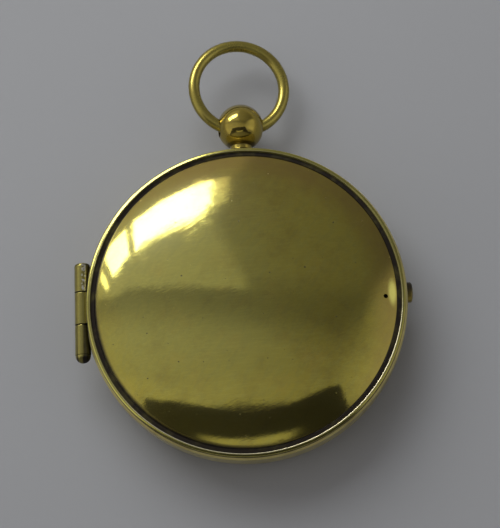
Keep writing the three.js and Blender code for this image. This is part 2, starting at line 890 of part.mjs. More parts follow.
function leverBracket() {
  const inner = leverHalfWidth + runGap + seatGap;
  const outer = inner + bracketWall;
  const baseTop = floorThickness + bracketBase;
  const earTop = fulcrumZ + bracketHeadRoom;
  const shape = polygon([
    [-outer, floorThickness],
    [outer, floorThickness],
    [outer, earTop],
    [inner, earTop],
    [inner, baseTop],
    [-inner, baseTop],
    [-inner, earTop],
    [-outer, earTop],
  ]);
  const channel = extrudeAlongY(shape, -bracketLength / 2, bracketLength / 2)
    .rotateZ(Math.PI / 2)
    .translate(fulcrumReach, 0, 0);
  const bore = alongY(disc(axleRadius + axleGap, -outer - overrun, outer + overrun, fineSteps))
    .translate(fulcrumReach, 0, fulcrumZ);
  return cut(channel, bore);
}

function leverAxle() {
  const half = leverHalfWidth + runGap + seatGap + bracketWall + axleHeadRoom;
  return alongY(disc(axleRadius, -half, half, fineSteps)).translate(fulcrumReach, 0, fulcrumZ);
}

function lockPin() {
  const flangeZ = dialTopZ + springHeight + seatGap;
  const topZ = undersideHeight(pinReach + pinRadius) - seatGap;
  return revolve([
    [0, leverTopZ + seatGap],
    [pinRadius, leverTopZ + seatGap],
    [pinRadius, flangeZ],
    [pinFlangeRadius, flangeZ],
    [pinFlangeRadius, flangeZ + pinFlangeHeight],
    [pinRadius, flangeZ + pinFlangeHeight],
    [pinRadius, topZ - pinRadius / 2],
    [pinRadius / 2, topZ],
    [0, topZ],
  ], fineSteps).translate(pinReach, 0, 0);
}

class Helix extends THREE.Curve {
  getPoint(share, target = new THREE.Vector3()) {
    const angle = share * springTurns * 2 * Math.PI;
    const rise = springHeight - 2 * springWireRadius - seatGap;
    return target.set(
      springCoilRadius * Math.cos(angle),
      springCoilRadius * Math.sin(angle),
      springWireRadius + seatGap + rise * share,
    );
  }
}

function lockSpring() {
  const section = new THREE.Shape();
  section.absarc(0, 0, springWireRadius, 0, 2 * Math.PI, false);
  return new THREE.ExtrudeGeometry(section, {
    steps: springTurns * springStepsPerTurn,
    curveSegments: springSides / 2,
    extrudePath: new Helix(),
    bevelEnabled: false,
  }).translate(pinReach, 0, dialTopZ);
}

// Catch: a leaf spring with a hook, and the button that bends it inwards

function catchSpring() {
  const leafBottom = dialTopZ + leafFootGap;
  const leafTop = leafBottom + leafHeight;
  const hookBottom = skirtBottomZ + windowDrop + seatGap;
  const hookTop = hookBottom + hookThickness;
  const footOuter = boreRadius - footInset;
  const footBottom = dialTopZ + seatGap;
  const leaf = ringSector(leafInnerRadius, leafOuterRadius, leafFrom, leafTo, leafBottom, leafTop);
  const foot = ringSector(
    footOuter - footWidth,
    footOuter,
    footFrom,
    footTo,
    footBottom,
    footBottom + footHeight,
  );
  const neckInner = leafInnerRadius + seatGap;
  const neckOuter = leafOuterRadius - seatGap;
  const hook = extrudeAlongY(polygon([
    [neckInner, leafTop - leafThickness],
    [neckOuter, leafTop - leafThickness],
    [neckOuter, hookBottom],
    [skirtInnerRadius + hookBite, hookBottom],
    [skirtInnerRadius + hookBite, hookBottom + seatGap],
    [neckOuter, hookTop],
    [neckInner, hookTop],
  ]), catchOffset - hookWidth / 2, catchOffset + hookWidth / 2);
  const screwHole = atBearing(
    disc(catchScrewRadius + runGap, footBottom - overrun, footBottom + footHeight + overrun, fineSteps),
    catchScrewReach,
    catchScrewBearing,
  );
  return cut(join(leaf, foot, hook), screwHole);
}

function catchScrew() {
  return atBearing(screw(
    catchScrewRadius,
    catchScrewHeadRadius,
    dialSeatZ - catchScrewDepth,
    dialTopZ + 2 * seatGap + footHeight,
    catchScrewHeadHeight,
  ), catchScrewReach, catchScrewBearing);
}

function catchButton() {
  const flangeInner = leafOuterRadius + runGap;
  const crown = caseRadius + buttonShow;
  const domeArcPoints = arc(0, 0, 1, 0, Math.PI / 2, arcSteps).map(([across, up]) => (
    [across * buttonRadius, crown - buttonDome + up * buttonDome]
  ));
  domeArcPoints[domeArcPoints.length - 1][0] = 0;
  return alongX(revolve([
    [0, flangeInner],
    [buttonFlangeRadius, flangeInner],
    [buttonFlangeRadius, flangeInner + buttonFlangeThickness],
    [buttonRadius, flangeInner + buttonFlangeThickness],
    ...domeArcPoints,
  ], smallSteps)).translate(0, catchOffset, buttonZ);
}

// Assembly

function caseGroup() {
  const group = new THREE.Group();
  group.add(
    piece('case_body', caseBody(), 'agedBrass'),
    piece('dial_plate', dialPlate(), 'agedBrass'),
    piece('dial_card', dialCard(), 'card'),
    piece('dial_screw_northeast', dialScrew(dialScrewBearings[0]), 'steel'),
    piece('dial_screw_southwest', dialScrew(dialScrewBearings[1]), 'steel'),
    piece('spacer_ring', spacerRing(), 'agedBrass'),
    piece('glass', glass(), 'glass'),
    piece('glass_bezel', glassBezel(), 'polishedBrass'),
    piece('pivot_post', pivotPost(), 'steel'),
    piece('catch_spring_screw', catchScrew(), 'steel'),
  );
  return group;
}

function hingeGroup() {
  const group = new THREE.Group();
  group.position.set(hingeX, 0, hingeZ);
  group.add(
    piece('case_hinge_knuckle_north', caseKnuckle(knuckleStart, northKnuckleEnd), 'agedBrass'),
    piece('case_hinge_knuckle_south', caseKnuckle(-southKnuckleEnd, -knuckleStart), 'agedBrass'),
    piece('lid_hinge_knuckle', lidKnuckle(), 'agedBrass'),
    piece('hinge_pin', hingePin(), 'steel'),
  );
  return group;
}

function pendantGroup() {
  const group = new THREE.Group();
  group.position.set(0, 0, pendantZ);
  const bow = new THREE.Group();
  bow.position.set(0, bowAxisY, 0);
  bow.rotation.y = pendantTwist;
  bow.add(piece('bow_ring', bowRing(), 'polishedBrass'));
  group.add(piece('pendant', pendant(), 'polishedBrass'), bow);
  return group;
}

function lidGroup() {
  const group = new THREE.Group();
  group.add(
    piece('lid_shell', lidShell(), 'polishedBrass'),
    piece('lid_rim', lidRim(), 'polishedBrass'),
  );
  return group;
}

function needleGroup() {
  const group = new THREE.Group();
  group.add(
    piece('needle', needle(), 'bluedSteel'),
    piece('needle_cap', needleCap(), 'polishedBrass'),
    piece('needle_jewel', needleJewel(), 'agate'),
    piece('needle_weight', needleWeight(), 'polishedBrass'),
  );
  return group;
}

function liftGroup() {
  const group = new THREE.Group();
  group.rotation.z = leverBearing;
  group.add(
    piece('lift_collar', liftCollar(), 'agedBrass'),
    piece('lift_lever', liftLever(), 'agedBrass'),
    piece('lever_bracket', leverBracket(), 'agedBrass'),
    piece('lever_axle', leverAxle(), 'steel'),
    piece('lock_pin', lockPin(), 'steel'),
    piece('lock_spring', lockSpring(), 'steel'),
  );
  return group;
}

function catchGroup() {
  const group = new THREE.Group();
  group.add(
    piece('catch_button', catchButton(), 'agedBrass'),
    piece('catch_spring', catchSpring(), 'steel'),
  );
  return group;
}

const compass = new THREE.Group();
compass.add(
  caseGroup(),
  hingeGroup(),
  pendantGroup(),
  lidGroup(),
  needleGroup(),
  liftGroup(),
  catchGroup(),
);

export default compass;
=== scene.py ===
"""A brass pocket compass in a hunter case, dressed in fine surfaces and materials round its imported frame."""

import json
import math

import bmesh
import bpy
import numpy as np
from mathutils import Matrix, Vector


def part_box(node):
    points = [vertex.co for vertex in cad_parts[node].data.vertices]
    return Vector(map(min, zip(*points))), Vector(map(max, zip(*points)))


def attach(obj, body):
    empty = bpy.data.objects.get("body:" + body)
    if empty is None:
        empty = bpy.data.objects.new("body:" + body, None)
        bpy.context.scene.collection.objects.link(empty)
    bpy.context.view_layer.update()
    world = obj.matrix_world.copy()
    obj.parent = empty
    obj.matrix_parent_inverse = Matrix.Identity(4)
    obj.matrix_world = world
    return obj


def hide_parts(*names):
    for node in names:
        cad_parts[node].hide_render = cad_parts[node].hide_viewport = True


bl_info = {
    "name": "Pocket Compass",
    "version": (1, 0, 0),
    "blender": (4, 5, 0),
    "location": "View3D > Sidebar > Compass",
    "description": "Builds the pieces, materials and stage of a brass pocket compass",
    "category": "Object",
}

MM = 0.001
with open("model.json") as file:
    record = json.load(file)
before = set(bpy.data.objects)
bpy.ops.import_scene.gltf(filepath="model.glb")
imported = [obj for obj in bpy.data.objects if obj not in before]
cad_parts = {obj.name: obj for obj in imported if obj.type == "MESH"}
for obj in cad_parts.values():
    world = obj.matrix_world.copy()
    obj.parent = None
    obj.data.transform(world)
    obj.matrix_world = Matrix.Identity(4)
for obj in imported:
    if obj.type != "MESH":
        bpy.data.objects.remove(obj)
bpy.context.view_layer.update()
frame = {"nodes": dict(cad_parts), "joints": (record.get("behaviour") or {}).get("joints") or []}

# How far a cutting form reaches past what it cuts
PAST = 1 * MM

# Points nearer than these are one point: on a new piece, on a cut one, and along an outline or edge
MERGE = 1e-7
CUT_MERGE = 2e-7
SLIVER = 1e-8

# Steps round a turned form, from the widest to the narrowest
WIDE_STEPS = 288
DISC_STEPS = 256
NECK_STEPS = 96
BARREL_STEPS = 64
ROD_STEPS = 48
HOLE_STEPS = 32


def low(node):
    """Lowest corner of a node's box, as an array."""
    return np.array(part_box(node)[0])


def high(node):
    """Highest corner of a node's box, as an array."""
    return np.array(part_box(node)[1])


def middle(node):
    """Middle of a node's box, as an array."""
    return (low(node) + high(node)) / 2


def half(node):
    """Half the size of a node's box, as an array."""
    return (high(node) - low(node)) / 2


def joint(name):
    """A joint of the frame, by its name."""
    return next(entry for entry in frame["joints"] if entry["name"] == name)


def length(name, default, description):
    """A length that a user may change, in metres."""
    return bpy.props.FloatProperty(
        name=name,
        description=description,
        default=float(default),
        unit="LENGTH",
        subtype="DISTANCE",
        precision=5,
    )


def turn(name, degrees, description):
    """An angle that a user may change."""
    return bpy.props.FloatProperty(
        name=name,
        description=description,
        default=math.radians(degrees),
        unit="ROTATION",
        subtype="ANGLE",
    )


def number(name, default, description):
    """A plain number that a user may change."""
    return bpy.props.FloatProperty(name=name, description=description, default=default)


def colour(name, default, description):
    """A colour that a user may change."""
    return bpy.props.FloatVectorProperty(
        name=name,
        description=description,
        default=default,
        size=3,
        min=0,
        max=1,
        subtype="COLOR",
    )


class CompassCase(bpy.types.PropertyGroup):
    """Sizes of the turned case."""

    radius: length("Radius", high("case_body")[1], "Outer radius of the wall")
    lip_height: length("Lip height", high("case_body")[2], "Height of the lip above the base")
    wall: length("Wall", 1.6 * MM, "Thickness of the wall above the dial ledge")
    back_rounding: length("Back rounding", 5.2 * MM, "Reach of the rounded back, inwards from the wall")
    upright: length("Upright wall", 1.55 * MM, "Height of the straight wall under the lip")
    fullness: number("Fullness", 2.6, "Exponent of the rounded back; 2 is an ellipse, more is fuller")
    mouth_step: length("Mouth step", 0.4 * MM, "Width of the step that takes the lid's skirt")
    mouth_depth: length("Mouth depth", 1.05 * MM, "Depth of that step below the lip")
    lip_roll: length("Lip roll", 0.35 * MM, "Height over which the wall draws in to the lip")
    lip_inset: length("Lip inset", 0.25 * MM, "How far the lip stands inside the wall")
    floor: length("Floor", 0.9 * MM, "Thickness of the floor")
    ledge_width: length("Ledge width", 1.2 * MM, "Width of the ledge under the dial")
    corner_width: length("Corner width", 1.7 * MM, "Width of the sloping corner at the floor")
    corner_height: length("Corner height", 0.8 * MM, "Height of the sloping corner at the floor")
    edge: length("Edge rounding", 0.06 * MM, "Rounding of the turned edges")
    chamfer: length("Lip chamfer", 0.12 * MM, "Reach of the lip's two chamfers")
    chamfer_edge: length("Chamfer rounding", 0.08 * MM, "Rounding of the chamfers' edges")
    roll_rounding: length("Roll rounding", 0.5 * MM, "Rounding where the wall starts to draw in")


class CompassLid(bpy.types.PropertyGroup):
    """Sizes of the domed lid and its rim."""

    crown_radius: length("Crown radius", 62 * MM, "Radius of the dome's wide middle arc")
    shoulder_radius: length("Shoulder radius", 26.2 * MM, "Radius of the arc that runs down to the rim")
    crown_share: number("Crown share", 0.77, "Share of the dome's radius that the middle arc takes")
    thickness: length("Thickness", 0.5 * MM, "Thickness of the pressed dome")
    gutter_depth: length("Gutter depth", 0.35 * MM, "Depth of the groove between dome and beads")
    inner_bead: length("Inner bead", 0.07 * MM, "Half the width of the inner bead")
    outer_bead: length("Outer bead", 0.155 * MM, "Half the width of the outer bead")
    bead_slope: turn("Bead slope", 17.5, "Slope of the outer bead's face")
    rim_height: length("Rim height", 0.6 * MM, "Height of the rim's outer edge")
    skirt: length("Skirt", 0.45 * MM, "Thickness of the skirt that enters the case")
    ledge_width: length("Ledge width", 0.3 * MM, "Width of the ledge under the dome's edge")
    ledge_thickness: length("Ledge thickness", 0.2 * MM, "Thickness of that ledge")
    hole_radius: length("Hole radius", 0.3 * MM, "Radius of the small open hole")
    hole_inset: length("Hole inset", 1.58 * MM, "How far the hole lies inside the dome's edge")
    hole_offset: length("Hole offset", -0.65 * MM, "How far north of the middle the hole lies")
    seat: length("Seat", 0.05 * MM, "Clearance between seated pieces")
    skirt_radius: length("Skirt radius", 20.75 * MM, "Outer radius of the skirt")
    gap_share: number("Gap share", 0.51, "Half the skirt's gap at the hinge, as a share of the case's bore")
    window_inner: length("Window start", 19 * MM, "Where the cut for the hook's window starts")
    window_outer: length("Window end", 21.3 * MM, "Where the cut for the hook's window ends")
    window_half: length("Window half width", 1.1 * MM, "Half the width of the hook's window in the skirt")
    window_foot: length("Window foot", 0.15 * MM, "Height of the window's foot above the skirt's end")
    window_head: length("Window head", 0.45 * MM, "Height of the window's head above the skirt's end")


class CompassHinge(bpy.types.PropertyGroup):
    """Sizes of the three-knuckle hinge."""

    barrel: length("Barrel", 1.1 * MM, "Radius of the knuckles")
    pin: length("Pin", 0.45 * MM, "Radius of the pin")
    play: length("Play", 0.06 * MM, "Clearance round the pin")
    edge: length("Edge rounding", 0.09 * MM, "Rounding of the knuckles' ends")
    scallop: length("Scallop", 0.1 * MM, "Clearance of the barrel's seat in the wall")
    bore_edge: length("Bore rounding", 0.03 * MM, "Rounding of the bore's ends")
    leaf_drop: length("Leaf drop", 0.6 * MM, "Height of the leaf's underside above the pin")
    leaf_play: length("Leaf play", 0.1 * MM, "Clearance round the leaf in the case's notch")
    leaf_root: length("Leaf root", 0.05 * MM, "How far the leaf's root stands off the bore")
    north_head: length("North head", 0.4 * MM, "Height of the pin's head at the pendant's side")
    south_head: length("South head", 1.05 * MM, "Height of the pin's head at the other side")


class CompassPendant(bpy.types.PropertyGroup):
    """Sizes of the ball pendant and its bow."""

    ball: length("Ball", 3.3 * MM, "Radius of the ball")
    neck: length("Neck", 1.6 * MM, "Radius of the neck")
    foot: length("Foot", 2.0 * MM, "Radius of the neck's foot")
    foot_height: length("Foot height", 0.3 * MM, "Height of the neck's foot")
    hole: length("Hole", 1.22 * MM, "Radius of the cross hole")
    hole_edge: length("Hole edge", 0.07 * MM, "Rounding that the bow has worn on the hole's edge")
    tenon: length("Tenon", 1.35 * MM, "Radius of the tenon in the wall")
    foot_seat: length("Foot seat", 0.05 * MM, "Clearance between the foot and the wall")
    neck_share: number("Neck share", 0.72, "How near to the ball's middle the neck ends, in ball radii")
    bow: length("Bow", 6.46 * MM, "Radius of the bow's centre line")
    wire: length("Wire", 0.8 * MM, "Radius of the bow's wire")
    rub: number("Rub", 0.035, "Share of the wire's radius worn away in the ball")
    rub_reach: number("Rub reach", 0.32, "Reach of that wear round the bow, in radians")


class CompassCatch(bpy.types.PropertyGroup):
    """Sizes of the push piece and the catch spring's screw."""

    shank: length("Shank", 1.4 * MM, "Radius of the push piece's shank")
    play: length("Play", 0.1 * MM, "Clearance round the shank in the wall")
    flange: length("Flange", 0.25 * MM, "Thickness of the flange inside the wall")
    dome: length("Dome", 0.4 * MM, "Height of the domed end")
    screw: length("Screw", 0.35 * MM, "Radius of the screw's shank")
    screw_head: length("Screw head", 0.6 * MM, "Radius of the screw's head")
    screw_height: length("Screw head height", 0.35 * MM, "Height of the screw's head")
    slot: length("Slot", 0.28 * MM, "Width of every screw's slot")


class CompassDial(bpy.types.PropertyGroup):
    """Sizes of the dial's printing and its screws."""

    ring_outer: length("Scale radius", 17.2 * MM, "Radius of the degree scale's outer circle")
    ring_inner: length("Scale inner radius", 15.7 * MM, "Radius of the degree scale's inner circle")
    ring_letters: length("Letter circle", 11.3 * MM, "Radius of the circle inside the letters")
    ring_hub: length("Hub circle", 2.6 * MM, "Radius of the circle round the middle")
    line: length("Line", 0.11 * MM, "Width of a printed line")
    ink: length("Ink", 0.012 * MM, "Thickness of the printing")
    tick: length("Tick", 0.7 * MM, "Length of a two degree tick")
    tick_ten: length("Ten degree tick", 1.15 * MM, "Length of a ten degree tick")
    tick_thirty: length("Thirty degree tick", 1.5 * MM, "Length of a thirty degree tick")
    rose: length("Rose", 10.4 * MM, "Reach of the rose's long points")
    rose_notch: length("Rose notch", 2.35 * MM, "Reach of the notches between the long points")
    rose_short: number("Short points", 0.62, "Reach of the short points, as a share of the long ones'")
    rose_short_notch: length("Short notch", 2.1 * MM, "Reach of the notches between the short points")
    letter: length("Letter", 3.0 * MM, "Height of the letters")
    letter_reach: length("Letter reach", 12.75 * MM, "Distance of the letters from the middle")
    figure: length("Figure", 1.5 * MM, "Height of the figures")
    figure_reach: length("Figure reach", 14.5 * MM, "Distance of the figures from the middle")
    screw: length("Screw", 0.45 * MM, "Radius of a dial screw's shank")
    screw_head: length("Screw head", 0.95 * MM, "Radius of a dial screw's head")
    screw_height: length("Screw head height", 0.75 * MM, "Height of a dial screw's head")


class CompassGlass(bpy.types.PropertyGroup):
    """Sizes of the glass, its bezel and the spacer ring under it."""

    glass_bevel: length("Glass bevel", 0.35 * MM, "Width of the glass's bevelled edge")
    glass_edge: length("Glass edge", 1.0 * MM, "Height of the glass at its rim, under the lip")
    lip: length("Lip", 0.5 * MM, "Reach of the bezel's lip over the glass")
    lip_edge: length("Lip edge", 0.125 * MM, "Thickness of the lip at its inner edge")
    lip_slope: length("Lip slope", 0.35 * MM, "Width of the lip's sloping face")
    play: length("Play", 0.1 * MM, "Clearance round the glass")
    shoulder: length("Shoulder", 0.6 * MM, "Height of the bezel's straight outer side")
    bevel_width: length("Bevel width", 0.5 * MM, "Width and height of the bezel's bevel")
    crown_start: length("Crown start", 0.85 * MM, "How far the bezel's crown lies inside its outer side")
    spacer_width: length("Spacer width", 2.5 * MM, "Width of the spacer's foot")
    spacer_slope: length("Spacer slope", 0.8 * MM, "How far the spacer's top overhangs its foot")
    spacer_edge: length("Spacer edge", 0.3 * MM, "Height of the spacer's upright edges")
    pocket_inner: length("Pocket start", 18.7 * MM, "Inner radius of the catch spring's pocket")
    pocket_outer: length("Pocket end", 21.5 * MM, "Outer radius of the cut for the pocket")
    pocket_start: turn("Pocket start bearing", -30, "Where the pocket starts, from east")
    pocket_end: turn("Pocket end bearing", 9, "Where the pocket ends, from east")
    well: length("Well", 0.75 * MM, "Radius of the lock spring's well in the spacer")
    pin_hole: length("Pin hole", 0.45 * MM, "Radius of the lock pin's hole in the bezel")


class CompassNeedle(bpy.types.PropertyGroup):
    """Sizes of the needle's cap."""

    bore: length("Bore", 0.5 * MM, "Radius of the cap's bore")
    wall: length("Wall", 0.75 * MM, "Outer radius of the cap")
    flange: length("Flange", 0.12 * MM, "Thickness of the flange on the needle")
    crown: length("Crown", 0.18 * MM, "Height of the closed end")


class CompassColours(bpy.types.PropertyGroup):
    """Colours of the finishes."""

    brass: colour("Brass", (0.40, 0.368, 0.09), "Polished brass of the lid and its rim")
    bow: colour("Bow brass", (0.37, 0.31, 0.065), "Warmer brass of the bow")
    ball: colour("Ball brass", (0.40, 0.31, 0.055), "Redder brass of the pendant and the push piece")
    case: colour("Case brass", (0.55, 0.48, 0.20), "Dull brass of the case")
    hinge: colour("Hinge brass", (0.39, 0.345, 0.090), "Browner brass of the hinge")
    # Crest is the colour of a painted glint along the rim's inner bead
    crest: colour("Worn crest", (0.80, 0.74, 0.52), "Pale worn crest of the rim's inner bead")
    film: colour("Film", (0.315, 0.222, 0.060), "Thin brown film near the lid's edge")
    solder: colour("Solder", (0.62, 0.60, 0.52), "Grey solder left on a knuckle")
    inner: colour("Inner brass", (0.55, 0.44, 0.20), "Cleaner brass under the lid")
    tarnish: colour("Tarnish", (0.16, 0.105, 0.03), "Brown tarnish on the brass")
    # This dark colour serves real pits and dirt, and painted shade
    grime: colour("Grime", (0.017, 0.013, 0.009), "Old dirt in the grooves")
    steel: colour("Steel", (0.42, 0.41, 0.39), "Turned steel")
    blue: colour("Blued steel", (0.045, 0.075, 0.19), "Tempered blue of the needle")
    card: colour("Card", (0.80, 0.75, 0.60), "Aged printed card")
    ink: colour("Ink", (0.02, 0.02, 0.022), "Printing on the card")


class CompassWear(bpy.types.PropertyGroup):
    """Where the brass is darkened and filmed, and where highlights and shadow are painted."""

    # Darkening at the dome's foot, wider on two sides
    dome_dirt: length("Dome dirt", 0.10 * MM, "Reach of the dirt up the dome's foot")
    dome_dirt_side: length("Dome dirt at the side", 0.50 * MM, "What it adds on the hinge's and near side")
    film: length("Film", 1.0 * MM, "Width of the brown film along the dome's edge")
    film_side: length("Film at the side", 3.8 * MM, "What it adds on the far and the right side")
    # The patch is a painted highlight beside the small hole
    patch: length("Patch", 20.0 * MM, "Distance of the finger-worn patch from the middle")
    patch_core: length("Patch core", 0.25 * MM, "How far the patch is fully bright")
    patch_end: length("Patch end", 0.75 * MM, "How far the patch reaches")
    # The rubbed line is a painted highlight along the outer bead's edge
    rub_inset: length("Rub inset", 0.09 * MM, "How far the rubbed line lies inside the rim's edge")
    seam: length("Seam", 0.20 * MM, "Height of the dirt under the lip")
    seam_reach: length("Seam reach", 0.32 * MM, "How far that dirt keeps from the wall's outside")
    # The ring round the barrel is painted shadow of the hinge on the case
    hinge_ring: length("Hinge ring", 0.55 * MM, "Reach of the dirt round the barrel")
    push_ring: length("Push ring", 2.0 * MM, "Radius of the dirt round the push piece")
    neck_ring: length("Neck ring", 2.5 * MM, "Radius of the dirt round the pendant's foot")
    corner: length("Corner", 1.75 * MM, "Radius of the dirty corner between ball and neck")


class CompassStage(bpy.types.PropertyGroup):
    """The camera, the lamps and the table."""

    azimuth: turn("Azimuth", 8.08, "Camera's turn round the compass")
    elevation: turn("Elevation", 73.85, "Camera's height above the horizon")
    roll: turn("Roll", -2.1, "Camera's roll")
    distance: length("Distance", 260 * MM, "Camera's distance from the point it looks at")
    aim_x: length("Aim X", 0.81 * MM, "East of the point it looks at, on the plane of the rim's beads")
    aim_y: length("Aim Y", 4.88 * MM, "North of the point it looks at, on the plane of the rim's beads")
    lens: number("Lens", 129.52, "Focal length, in millimetres")
    window_distance: length("Window distance", 0.9, "Distance of the window's wall")
    window_turn: turn("Window turn", 29.8, "Turn of the window from the compass's north")
    window_lean: turn("Window lean", 13.4, "Lean of the window over the table")
    window_roll: turn("Window roll", 13.5, "Slope of the window's sill")
    window_light: number("Window light", 9.0, "Brightness of the window's panes")
    window_tint: colour("Window tint", (1.0, 0.99, 0.96), "Colour of the window's panes")
    sky_height: turn("Sky height", 38, "Height of the soft light above the table")
    sky_turn: turn("Sky turn", 26, "Turn of the soft light from the compass's north")
    sky_wide: length("Sky width", 0.95, "Width of the soft light")
    sky_tall: length("Sky depth", 0.8, "Height of the soft light's own face")
    sky_light: number("Sky light", 2.15, "Brightness of the soft light")
    sky_tint: colour("Sky tint", (0.92, 0.97, 1.0), "Colour of the soft light")
    room_light: number("Room light", 1.0, "Brightness of the room")
    table: colour("Table", (0.357, 0.355, 0.366), "Colour of the table")
    table_half: length("Table half", 1.5, "Half the width of the table top")
    table_gap: length("Table gap", 0.005 * MM, "How far the table lies under the case")


GROUPS = {
    "compass_case": CompassCase,
    "compass_lid": CompassLid,
    "compass_hinge": CompassHinge,
    "compass_pendant": CompassPendant,
    "compass_catch": CompassCatch,
    "compass_dial": CompassDial,
    "compass_glass": CompassGlass,
    "compass_needle": CompassNeedle,
    "compass_colours": CompassColours,
    "compass_wear": CompassWear,
    "compass_stage": CompassStage,
}


# Outlines, as arrays of (radius, height) points


def arc(centre, radii, start, end, steps):
    """Centre plus (radii[0] cos a, radii[1] sin a), for angles a spread evenly from start to end."""
    angle = np.linspace(start, end, steps + 1)
    return np.column_stack([centre[0] + radii[0] * np.cos(angle), centre[1] + radii[1] * np.sin(angle)])


def rounded(corners, steps=4):
    """A closed outline through corners, given as (radius, height, rounding) rows, turned into arcs.

    An arc of radius r touches both sides of a corner at r / tan(half its angle), and its centre lies
    on the bisector at r / sin(half its angle). A further point past each touch keeps the flats flat.
    """
    most_of_side, flat_start, nothing = 0.42, 1.12, 1e-9
    corners, rounding = np.hsplit(np.asarray(corners, float), [2])
    before = np.roll(corners, 1, axis=0) - corners
    after = np.roll(corners, -1, axis=0) - corners
    before_length = np.linalg.norm(before, axis=1)
    after_length = np.linalg.norm(after, axis=1)
    before /= before_length[:, None]
    after /= after_length[:, None]
    half_angle = np.arccos(np.clip((before * after).sum(1), -1, 1)) / 2
    room = most_of_side * np.minimum(before_length, after_length)
    touch = np.minimum(rounding[:, 0] / np.tan(half_angle), room)
    fitted = touch * np.tan(half_angle)
    bisector = before + after
    bisector /= np.maximum(np.linalg.norm(bisector, axis=1), nothing)[:, None]
    centre = corners + bisector * (fitted / np.sin(half_angle))[:, None]
    first = corners + before * touch[:, None] - centre
    last = corners + after * touch[:, None] - centre
    sweep = np.pi - 2 * half_angle[:, None, None]
    share = np.linspace(0, 1, steps + 1)[None, :, None]
    swing = np.sin((1 - share) * sweep) * first[:, None] + np.sin(share * sweep) * last[:, None]
    bend = centre[:, None] + swing / np.maximum(np.sin(sweep), nothing)
    margin = flat_start * touch[:, None]
    lead = (corners + before * margin)[:, None]
    trail = (corners + after * margin)[:, None]
    points = np.concatenate([lead, bend, trail], axis=1).reshape(-1, 2)
    gap = np.linalg.norm(points - np.roll(points, 1, axis=0), axis=1)
    return points[gap > SLIVER]


def starting_at(outline, radius, height):
    """The same closed outline, started at its point nearest to the given one."""
    start = np.argmin(np.hypot(outline[:, 0] - radius, outline[:, 1] - height))
    return np.roll(outline, -start, axis=0)


# Surfaces, as grids of points


def revolve(outline, steps, start=0.0, sweep=2 * np.pi):
    """The outline's point (r, h) at angle a goes to (r cos a, r sin a, h)."""
    whole = np.isclose(sweep, 2 * np.pi)
    angle = start + np.linspace(0, sweep, steps, endpoint=not whole)
    radius, height = np.asarray(outline).T[:, :, None]
    return np.stack(
        [radius * np.cos(angle), radius * np.sin(angle), height + 0 * angle],
        axis=-1,
    )


def along_x(points):
    """Turns a form that stands along Z so that it lies along X."""
    return np.roll(points, 1, axis=-1)


def along_y(points):
    """Turns a form that stands along Z so that it lies along Y."""
    return np.roll(points, 2, axis=-1)


def grid_faces(rows, columns, wrap_rows, wrap_columns):
    """Four corners of each cell of a grid of points, numbered row by row."""
    index = np.arange(rows * columns).reshape(rows, columns)
    if wrap_rows:
        index = np.vstack([index, index[:1]])
    if wrap_columns:
        index = np.hstack([index, index[:, :1]])
    cells = [index[:-1, :-1], index[:-1, 1:], index[1:, 1:], index[1:, :-1]]
    return np.stack(cells, axis=-1).reshape(-1, 4)


def new_piece(name, points, faces):
    """A mesh piece from points and faces, with equal points merged and faces turned outwards."""
    mesh = bpy.data.meshes.new(name)
    mesh.from_pydata(np.asarray(points).reshape(-1, 3).tolist(), [], [list(face) for face in faces])
    piece = bpy.data.objects.new(name, mesh)
    bpy.context.scene.collection.objects.link(piece)
    tidy(mesh)
    return piece


def tidy(mesh):
    """Merges equal points and turns the faces outwards."""
    work = bmesh.new()
    work.from_mesh(mesh)
    bmesh.ops.remove_doubles(work, verts=work.verts, dist=MERGE)
    bmesh.ops.dissolve_degenerate(work, edges=work.edges, dist=SLIVER)
    bmesh.ops.recalc_face_normals(work, faces=work.faces)
    work.to_mesh(mesh)
    work.free()


def turned(name, outline, steps, place=None):
    """A solid of revolution. Its outline closes on itself, or starts and ends on the axis."""
    points = revolve(outline, steps)
    if place is not None:
        points = place(points)
    on_axis = np.isclose(outline[0][0], 0) and np.isclose(outline[-1][0], 0)
    rows, columns = points.shape[:2]
    return new_piece(name, points, grid_faces(rows, columns, not on_axis, True).tolist())


def sector(name, inner, outer, bottom, top, start, end, steps=24):
    """A piece of a flat ring between two bearings, with its two ends closed."""
    outline = [[inner, bottom], [outer, bottom], [outer, top], [inner, top]]
    points = revolve(outline, steps, start, end - start)
    index = np.arange(4 * steps).reshape(4, steps)
    faces = grid_faces(4, steps, True, False).tolist() + [index[:, 0].tolist(), index[:, -1].tolist()]
    return new_piece(name, points, faces)


def block(name, lowest, highest):
    """A plain box between two corners, for cutting."""
    corner = np.array([[x, y, z] for x in (0, 1) for y in (0, 1) for z in (0, 1)])
    points = np.asarray(lowest) + corner * (np.asarray(highest) - np.asarray(lowest))
    faces = [[0, 1, 3, 2], [4, 6, 7, 5], [0, 4, 5, 1], [2, 3, 7, 6], [0, 2, 6, 4], [1, 5, 7, 3]]
    return new_piece(name, points, faces)


def pin(name, radius, bottom, top, steps, place=None):
    """A plain round bar along Z, or along another axis by place."""
    return turned(name, np.array([[0, bottom], [radius, bottom], [radius, top], [0, top]]), steps, place)


def shifted(x=0.0, y=0.0, z=0.0, turn_to=None):
    """A placing that turns points by turn_to, if given, and then moves them."""
    offset = np.array([x, y, z])
    return lambda points: (points if turn_to is None else turn_to(points)) + offset


def combine(piece, operation, tools):
    """Joins the tools to the piece or cuts them from it, and removes the tools."""
    for tool in tools:
        modifier = piece.modifiers.new("combine", "BOOLEAN")
        modifier.operation = operation
        modifier.solver = "EXACT"
        modifier.object = tool
    graph = bpy.context.evaluated_depsgraph_get()
    result = bpy.data.meshes.new_from_object(piece.evaluated_get(graph))
    piece.modifiers.clear()
    old = piece.data
    piece.data = result
    bpy.data.meshes.remove(old)
    for tool in tools:
        bpy.data.meshes.remove(tool.data)
    work = bmesh.new()
    work.from_mesh(piece.data)
    bmesh.ops.remove_doubles(work, verts=work.verts, dist=CUT_MERGE)
    work.to_mesh(piece.data)
    work.free()
    return piece


